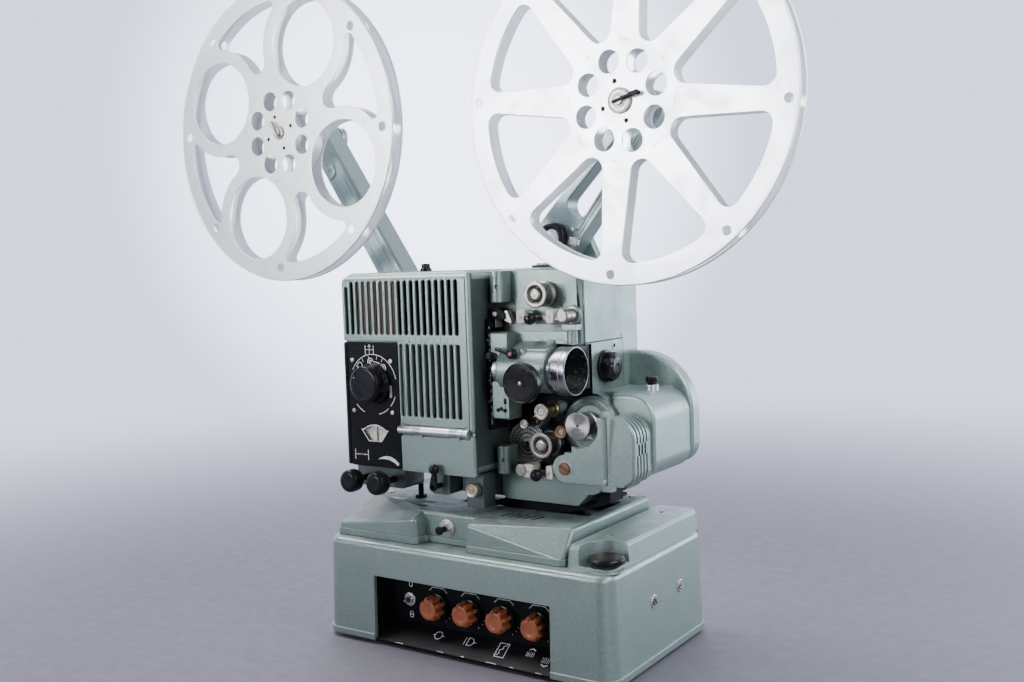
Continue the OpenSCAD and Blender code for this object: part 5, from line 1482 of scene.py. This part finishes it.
# ------------------------------------------------------------------ arms
recast("arm_bracket", [GREEN, RUBBER, STEEL], [
    (lambda x, y, z, e: 29 < y < 43 and z > 444, 2.0, 3),
], small=0.5, extra=lambda bm: (tint(bm, lambda x, y, z: z < 440.99 and x > 20, 1), tint(bm, lambda x, y, z: x < -100, 2)))
recast("front_arm", GREEN, [
    (lambda x, y, z, e: y < 0.4, 2.2, 4),
    (lambda x, y, z, e: y > 28.9, 1.6, 3),
], small=0.5)
recast("rear_arm", GREEN, [
    (lambda x, y, z, e: y < 5.4, 5.0, 5),
    (lambda x, y, z, e: y > 38.6 and math.hypot(x + 150, z - 389) > 12, 1.4, 3),
], small=0.5)
AF = rad(48.35)


def arm_at(p, a):
    """Point u along and v across an arm that starts at p and runs at angle a."""
    return lambda u, v, w: V(p[0] + u * math.cos(a) - v * math.sin(a), w, p[1] + u * math.sin(a) + v * math.cos(a))


def link_pts(x0, r1, r2, l, n=14):
    s = (r1 - r2) / l
    a = math.degrees(math.acos(s))
    return arc_pts(x0, 0, r1, a, 360 - a, n) + arc_pts(x0 + l, 0, r2, -a, a, n)


def front_arm_trim(bm):
    at = arm_at((74, 472), AF)
    # raised rim round the window and two ridges beside it
    stroke(bm, link_pts(46, 15.6, 10.4, 88), 2.2, at, 0.2, -1.3, closed=True)
    for o in (-19.5, -15.6):
        stroke(bm, [(22, o - 2.2), (60, o + 0.2), (110, o + 2.6), (150, o + 5.4)], 1.5, at, 0.3, -1.0)
    bevel_edges(bm, sharp(bm, 40), 0.45, 2)
    n0 = len(bm.faces)
    # ring knob of the pivot
    lathe(bm, (74, 0.2, 472), FRONT, soft([(10.2, 9.6), (10.8, 12.2), (14.6, 12.6), (16.5, 11.2), (16.8, 8.8), (16.8, 3.0), (15.4, 1.6), (13, 1.2), (13, -0.6)], 0.8, 3), 64, 1, lambda r, h, t: r - (0.35 * (0.5 + 0.5 * math.cos(36 * t)) if r > 16 else 0))
    lathe(bm, (74, 0.2, 472), FRONT, soft([(0, 10.8), (8.4, 10.6), (9.8, 9.8), (10.3, 8.4)], 0.6, 3), 48, 2)
    screw(bm, (95.5, 0.1, 480), FRONT, 3.0, 1.4, 25, 0.8, 2, 0.6)
    # latch tab
    t = arm_at((74, 472), rad(-14))
    plate(bm, [[(17, -4), (29, -5), (31.5, -2.5), (31.5, 2.5), (29, 5), (17, 4)]], -0.2, -3.6, 0.2, 1.0, t, 3, 2)


make("front_arm_trim", [GREEN, KNOB, STEEL], "front_arm", front_arm_trim)
AR = math.atan2(621 - 389, -301 + 150)


def rear_arm_trim(bm):
    at = arm_at((-150, 389), AR)
    L = math.hypot(232, 151)
    # bright ridge line along the front face
    stroke(bm, [(28, -8.4), (L - 30, -7.6)], 1.0, at, 5.2, 4.6)
    stroke(bm, [(L - 30, 7.4), (28, 8.0)], 1.0, at, 5.2, 4.6)
    bevel_edges(bm, sharp(bm, 40), 0.25, 2)
    # D-shaped boss near the top with its hole
    b = arm_at((-150, 389), AR)
    plate(bm, [[(L - 64, 2), (L - 64, 11), (L - 52, 12), (L - 47, 9), (L - 45.6, 4), (L - 47, -1.4), (L - 52, -4), (L - 60, -3)]], 6, 2.6, 0.2, 1.2, b, 3, 0)
    lathe(bm, (*[(-150 + (L - 54) * math.cos(AR) - 4 * math.sin(AR)), 2.7, 389 + (L - 54) * math.sin(AR) + 4 * math.cos(AR)],), FRONT, soft([(0, -0.6), (1.7, -0.6), (1.7, 0.5), (2.6, 0.4), (2.8, -0.3)], 0.2, 2), 24, 1)


make("rear_arm_trim", [GREEN, INK], "rear_arm", rear_arm_trim)


# ------------------------------------------------------------------ reels
def spin(lp, a, cx, cz):
    c, s = math.cos(rad(a)), math.sin(rad(a))
    return [(cx + p[0] * c - p[1] * s, cz + p[0] * s + p[1] * c) for p in lp]


def spoke_window(ri=70.0, ro=167.0, w0=31.0, w1=23.0, n=8):
    h = math.pi / n
    sd, nd = Vector((math.cos(h), math.sin(h))), Vector((-math.sin(h), math.cos(h)))
    pi_, po = sd * (ri + 20) - nd * (w0 / 2), sd * (ro - 10) - nd * (w1 / 2)
    e = (po - pi_).normalized()
    ea = math.atan2(e.y, e.x)
    m = Vector((-e.y, e.x))
    rin, rf = 13.0, 12.0
    cin = max(pi_.x + (rin / math.cos(ea) - pi_.y) / math.tan(ea), ri + rin * 0.2)
    s, k = 0.0, None
    while k is None:
        q = po - e * (s - 20) - m * rf
        if q.length <= ro - rf:
            k = q
        s += 0.25
    ka = math.degrees(math.atan2(k.y, k.x))
    ed = math.degrees(ea)
    up = arc_pts(cin, 0, rin, 180, 90 + ed, 10) + arc_pts(k.x, k.y, rf, 90 + ed, ka, 8) + arc_pts(0, 0, ro, ka, 0, 12)[1:]
    return up + [(p[0], -p[1]) for p in up[-2:0:-1]]


def gap_window(r_ring=70.0, r_out=167.0, fil=7.0):
    """Three-cornered gap between two rings, symmetrical about the x axis."""
    c = Vector((117 * math.cos(rad(45)), 117 * math.sin(rad(45))))
    d = 98.4
    ri = (c - Vector((d, 0))).length - r_ring
    # corner between a ring and the rim
    A, B = r_ring + fil, r_out - fil
    t = math.acos((117 ** 2 + B ** 2 - A ** 2) / (2 * 117 * B))
    k = Vector((B * math.cos(rad(45) - t), B * math.sin(rad(45) - t)))
    a1 = math.degrees(math.atan2((c - Vector((d, 0))).y, (c - Vector((d, 0))).x))
    v = k - c
    a2 = math.degrees(math.atan2(v.y, v.x))
    a0 = math.degrees(math.atan2(-(c.y), d - c.x))
    w = c - k
    a3 = math.degrees(math.atan2(w.y, w.x))
    ka = math.degrees(math.atan2(k.y, k.x))
    up = arc_pts(d, 0, ri, 180, a1, 10)
    if a2 < a0:
        a2 += 360
    up += arc_pts(c.x, c.y, r_ring, a0, a2, 12)[1:-1]
    if a3 < ka:
        a3 += 360
    up += arc_pts(k.x, k.y, fil, a3, ka, 8)
    up += arc_pts(0, 0, r_out, ka, 0, 8)[1:]
    return up + [(p[0], -p[1]) for p in up[-2:0:-1]]


def torus(bm, cx, cy, cz, R, r, n=160, k=10, mi=0):
    rings = []
    for i in range(n):
        a = 2 * math.pi * i / n
        rings.append([bm.verts.new(V(cx + (R + r * math.cos(2 * math.pi * j / k)) * math.cos(a), cy + r * math.sin(2 * math.pi * j / k), cz + (R + r * math.cos(2 * math.pi * j / k)) * math.sin(a))) for j in range(k)])
    for i in range(n):
        p, q = rings[i], rings[(i + 1) % n]
        for j in range(k):
            l = (j + 1) % k
            bm.faces.new((p[j], q[j], q[l], p[l])).material_index = mi


def reel(bm, cx, cz, turn, windows, rim, hole):
    for y0, y1 in ((-60.0, -58.4), (-41.6, -40.0)):
        outer = y0 < -50
        loops = [circ(cx, cz, 188.6, 160)]
        loops += [spin(w, turn + a, cx, cz) for w, a in windows]
        loops += [spin(circ(43, 0, 12, 32), 22.5 + 45 * i + turn, cx, cz) for i in range(8)]
        loops += [spin(circ(rim, 0, hole / 2, 20), 45 * i + turn, cx, cz) for i in range(8)]
        if outer:
            loops += [spin(circ(21.5, 0, 2.4, 14), 22 + 90 * i + turn, cx, cz) for i in range(4)]
        loops.append(circ(cx, cz, 5.3, 24))
        plate(bm, loops, y1, y0, 0.35, 0.35, "XZ", 2, 0, hole_r=0.5)
        # rolled rim
        torus(bm, cx, (y0 + y1) / 2 + (0.4 if outer else -0.4), cz, 188.5, 1.45)
    # drum that takes the film, and the inner hub
    lathe(bm, (cx, -50, cz), (0, 1, 0), soft([(60.7, -8.5), (62, -8.5), (62, 8.5), (60.7, 8.5), (60.7, -8.5)], 0.2, 1), 96, 0)
    lathe(bm, (cx, -50, cz), (0, 1, 0), [(5.3, -8.5), (27, -8.5), (27, 8.5), (5.3, 8.5)], 64, 0)
    f = on_front(-60.0)
    for i in range(8):
        a = 45 * i + turn + 90
        # bent tabs that hold the drum
        stroke(bm, arc_pts(cx, cz, 61.4, a - 5.2, a - 0.9, 5), 0.75, f, -0.1, 0.1, mi=1)
        stroke(bm, arc_pts(cx, cz, 61.4, a + 0.9, a + 4.6, 5), 0.6, f, -0.1, 0.1, mi=1)
    # dark discs in the four small holes near the hub: painted shade
    for i in range(4):
        a = rad(22 + 90 * i + turn)
        lathe(bm, (cx + 21.5 * math.cos(a), -59.2, cz + 21.5 * math.sin(a)), FRONT, [(0, -0.4), (2.6, -0.4)], 14, 2)


make("front_reel_form", [REEL, STEEL_DULL, INK], "front_reel", lambda bm: reel(bm, 193.5, 606.4, -5.5, [(spoke_window(), 45 * (i + 0.5)) for i in range(8)], 179, 9.5), 32, ("front_reel",))
GAP = gap_window()
make("rear_reel_form", [REEL, STEEL_DULL, INK], "rear_reel", lambda bm: reel(bm, -301, 621, -3, [(circ(117, 0, 53.5, 72), 90 * i - 21) for i in range(4)] + [(GAP, 90 * i - 21 + 45) for i in range(4)], 173, 11), 32, ("rear_reel",))


def spindle(bm, x, z, yb, a, r, lever, w):
    c = (x, 0, z)
    ax = (0, 1, 0)
    lathe(bm, c, ax, soft([(0, -66.0), (4.2, -66.0), (4.9, -65.0), (4.9, -63.1), (r * 0.48, -63.0), (r * 0.5, -62.5), (r * 0.56, -62.5), (r * 0.58, -63.0), (r * 0.8, -63.0), (r * 0.82, -62.6), (r * 0.87, -62.6), (r * 0.9, -63.0), (r, -62.6), (r, -60.1), (5, -60.05)], 0.2, 2), 64, 0)
    lathe(bm, c, ax, soft([(5, -39.98), (15, -39.98), (15, -36.2), (5, -36), (5, yb - 10), (16.2, yb - 10), (17, yb - 9.2), (17, yb - 8), (14, yb - 5), (17, yb - 2), (17, yb - 0.8), (16.2, yb), (0, yb)], 0.4, 2), 64, 0)
    at = arm_at((x, z), rad(a))
    plate(bm, [[(-6, -1.3), (lever * 0.55, -1.45), (lever * 0.72, -w), (lever, -w), (lever + 1.2, 0), (lever, w), (lever * 0.72, w), (lever * 0.55, 1.45), (-6, 1.3)]], -64.2, -69, 0.4, 0.6, at, 2, 1)


make("front_spindle_form", [STEEL_DULL, BLACK], "front_reel", lambda bm: spindle(bm, 193.5, 606.4, 42, 15, 13.4, 24, 2.2), 36, ("front_spindle",))
make("rear_spindle_form", [STEEL, PALE_BRASS], "rear_reel", lambda bm: spindle(bm, -301, 621, 51, 120, 8.6, 15, 2.4), 36, ("rear_spindle",))

# ------------------------------------------------------------------ stage
floor_bm = bmesh.new()
put_faces(floor_bm, [Vector(p) for p in ((-9, -9, 0), (9, -9, 0), (9, 9, 0), (-9, 9, 0))], [(0, 1, 2, 3)])
floor_me = bpy.data.meshes.new("floor")
floor_bm.to_mesh(floor_me)
floor_bm.free()
floor = bpy.data.objects.new("floor", floor_me)
bpy.context.scene.collection.objects.link(floor)
FWD = (-0.5633, 0.8263, 0.0)
SPOT = (-0.613, 0.783, 0.103)
BRIGHT, DIM = 2.05, 0.14
SKY = (0.72, 0.775, 1.0)


def toward(t, vec):
    """Brightness that grows toward the far side of the studio, with a soft spot on the backdrop."""
    n = t.nodes.new("ShaderNodeVectorMath")
    n.operation = "NORMALIZE"
    t.links.new(vec, n.inputs[0])
    out = []
    for way, a, b, c, e in ((FWD, -0.1, 0.6, DIM, BRIGHT), (SPOT, 0.955, 1.0, 0.0, 3.4)):
        d = t.nodes.new("ShaderNodeVectorMath")
        d.operation = "DOT_PRODUCT"
        t.links.new(n.outputs[0], d.inputs[0])
        d.inputs[1].default_value = way
        r = t.nodes.new("ShaderNodeMapRange")
        r.interpolation_type = "SMOOTHSTEP"
        t.links.new(d.outputs["Value"], r.inputs[0])
        for k, v in enumerate((a, b, c, e)):
            r.inputs[1 + k].default_value = v
        out.append(r.outputs[0])
    add = t.nodes.new("ShaderNodeMath")
    add.operation = "ADD"
    t.links.new(out[0], add.inputs[0])
    t.links.new(out[1], add.inputs[1])
    return add.outputs[0]


# pale floor that fades into the bright far side
fm = Mat("floor_pale", rough=0.7)
fm.color(fm.mix(fm.rng(fm.noise(30, 4, 0.6), 0.3, 0.7, 0, 1), (0.150, 0.138, 0.162), (0.140, 0.129, 0.152)))
fm.rough(fm.rng(fm.noise(60, 3), 0.3, 0.7, 0.6, 0.75))
dist = fm.new("VectorMath", operation="LENGTH")
fm.link(fm.co, dist.inputs[0])
fade = fm.new("MapRange", interpolation_type="SMOOTHSTEP")
fm.link(dist.outputs["Value"], fade.inputs[0])
fade.inputs[1].default_value, fade.inputs[2].default_value = 0.45, 2.5
glow = fm.new("Emission")
glow.inputs[0].default_value = (*SKY, 1)
far = fm.new("VectorMath", operation="SUBTRACT")
fm.link(fm.co, far.inputs[0])
far.inputs[1].default_value = (0.78231, -1.05616, 0.44266)
fm.link(toward(fm.t, far.outputs[0]), glow.inputs[1])
both = fm.new("MixShader")
fm.link(fade.outputs[0], both.inputs[0])
fm.link(fm.b.outputs[0], both.inputs[1])
fm.link(glow.outputs[0], both.inputs[2])
fm.link(both.outputs[0], fm.out.inputs[0])
floor_me.materials.append(fm.m)

world = bpy.data.worlds.new("studio")
bpy.context.scene.world = world
world.use_nodes = True
wt = world.node_tree
wt.nodes["Background"].inputs[0].default_value = (*SKY, 1)
wt.links.new(toward(wt, wt.nodes.new("ShaderNodeTexCoord").outputs["Generated"]), wt.nodes["Background"].inputs[1])


def softbox(name, loc, aim, size, power, color=(1, 1, 1), spread=180):
    l = bpy.data.lights.new(name, "AREA")
    l.shape = "SQUARE"
    l.size = size
    l.energy = power
    l.color = color
    l.spread = rad(spread)
    o = bpy.data.objects.new(name, l)
    bpy.context.scene.collection.objects.link(o)
    o.location = loc
    o.rotation_mode = "QUATERNION"
    o.rotation_quaternion = (Vector(aim) - Vector(loc)).to_track_quat("-Z", "Y")
    return o


softbox("key", (0.95, 0.0, 0.95), (0.1, 0.05, 0.38), 0.6, 12, (0.88, 0.95, 1.0))
softbox("side", (1.35, 1.85, 0.46), (0.15, 0.05, 0.25), 0.9, 17, (0.78, 0.91, 1.0))
softbox("corner", (1.38, -0.84, 0.50), (0.15, 0, 0.42), 0.32, 6, (0.92, 0.97, 1.0))
softbox("sheen", (-0.85, -2.1, 1.02), (0.08, 0, 0.86), 1.0, 6.3, (0.92, 0.95, 1.0), 40)
softbox("rim", (-1.05, -0.2, 2.0), (0, 0, 0.3), 0.9, 42)
softbox("top", (-0.3, 0.5, 2.4), (0, 0, 0.3), 1.6, 10)

cam = bpy.data.cameras.new("camera")
cam.lens = 38.05
cam.sensor_width = 36
cam_ob = bpy.data.objects.new("camera", cam)
bpy.context.scene.collection.objects.link(cam_ob)
bpy.context.scene.camera = cam_ob
az, el, roll = rad(34.28), rad(4.05), rad(-1.93)
back = Vector((math.sin(az) * math.cos(el), -math.cos(az) * math.cos(el), math.sin(el)))
right = (-back).cross(Vector((0, 0, 1))).normalized()
up_v = right.cross(-back)
R = right * math.cos(roll) + up_v * math.sin(roll)
U = up_v * math.cos(roll) - right * math.sin(roll)
cam_ob.matrix_world = Matrix(((R.x, U.x, back.x, 0.78231), (R.y, U.y, back.y, -1.05616), (R.z, U.z, back.z, 0.44266), (0, 0, 0, 1)))
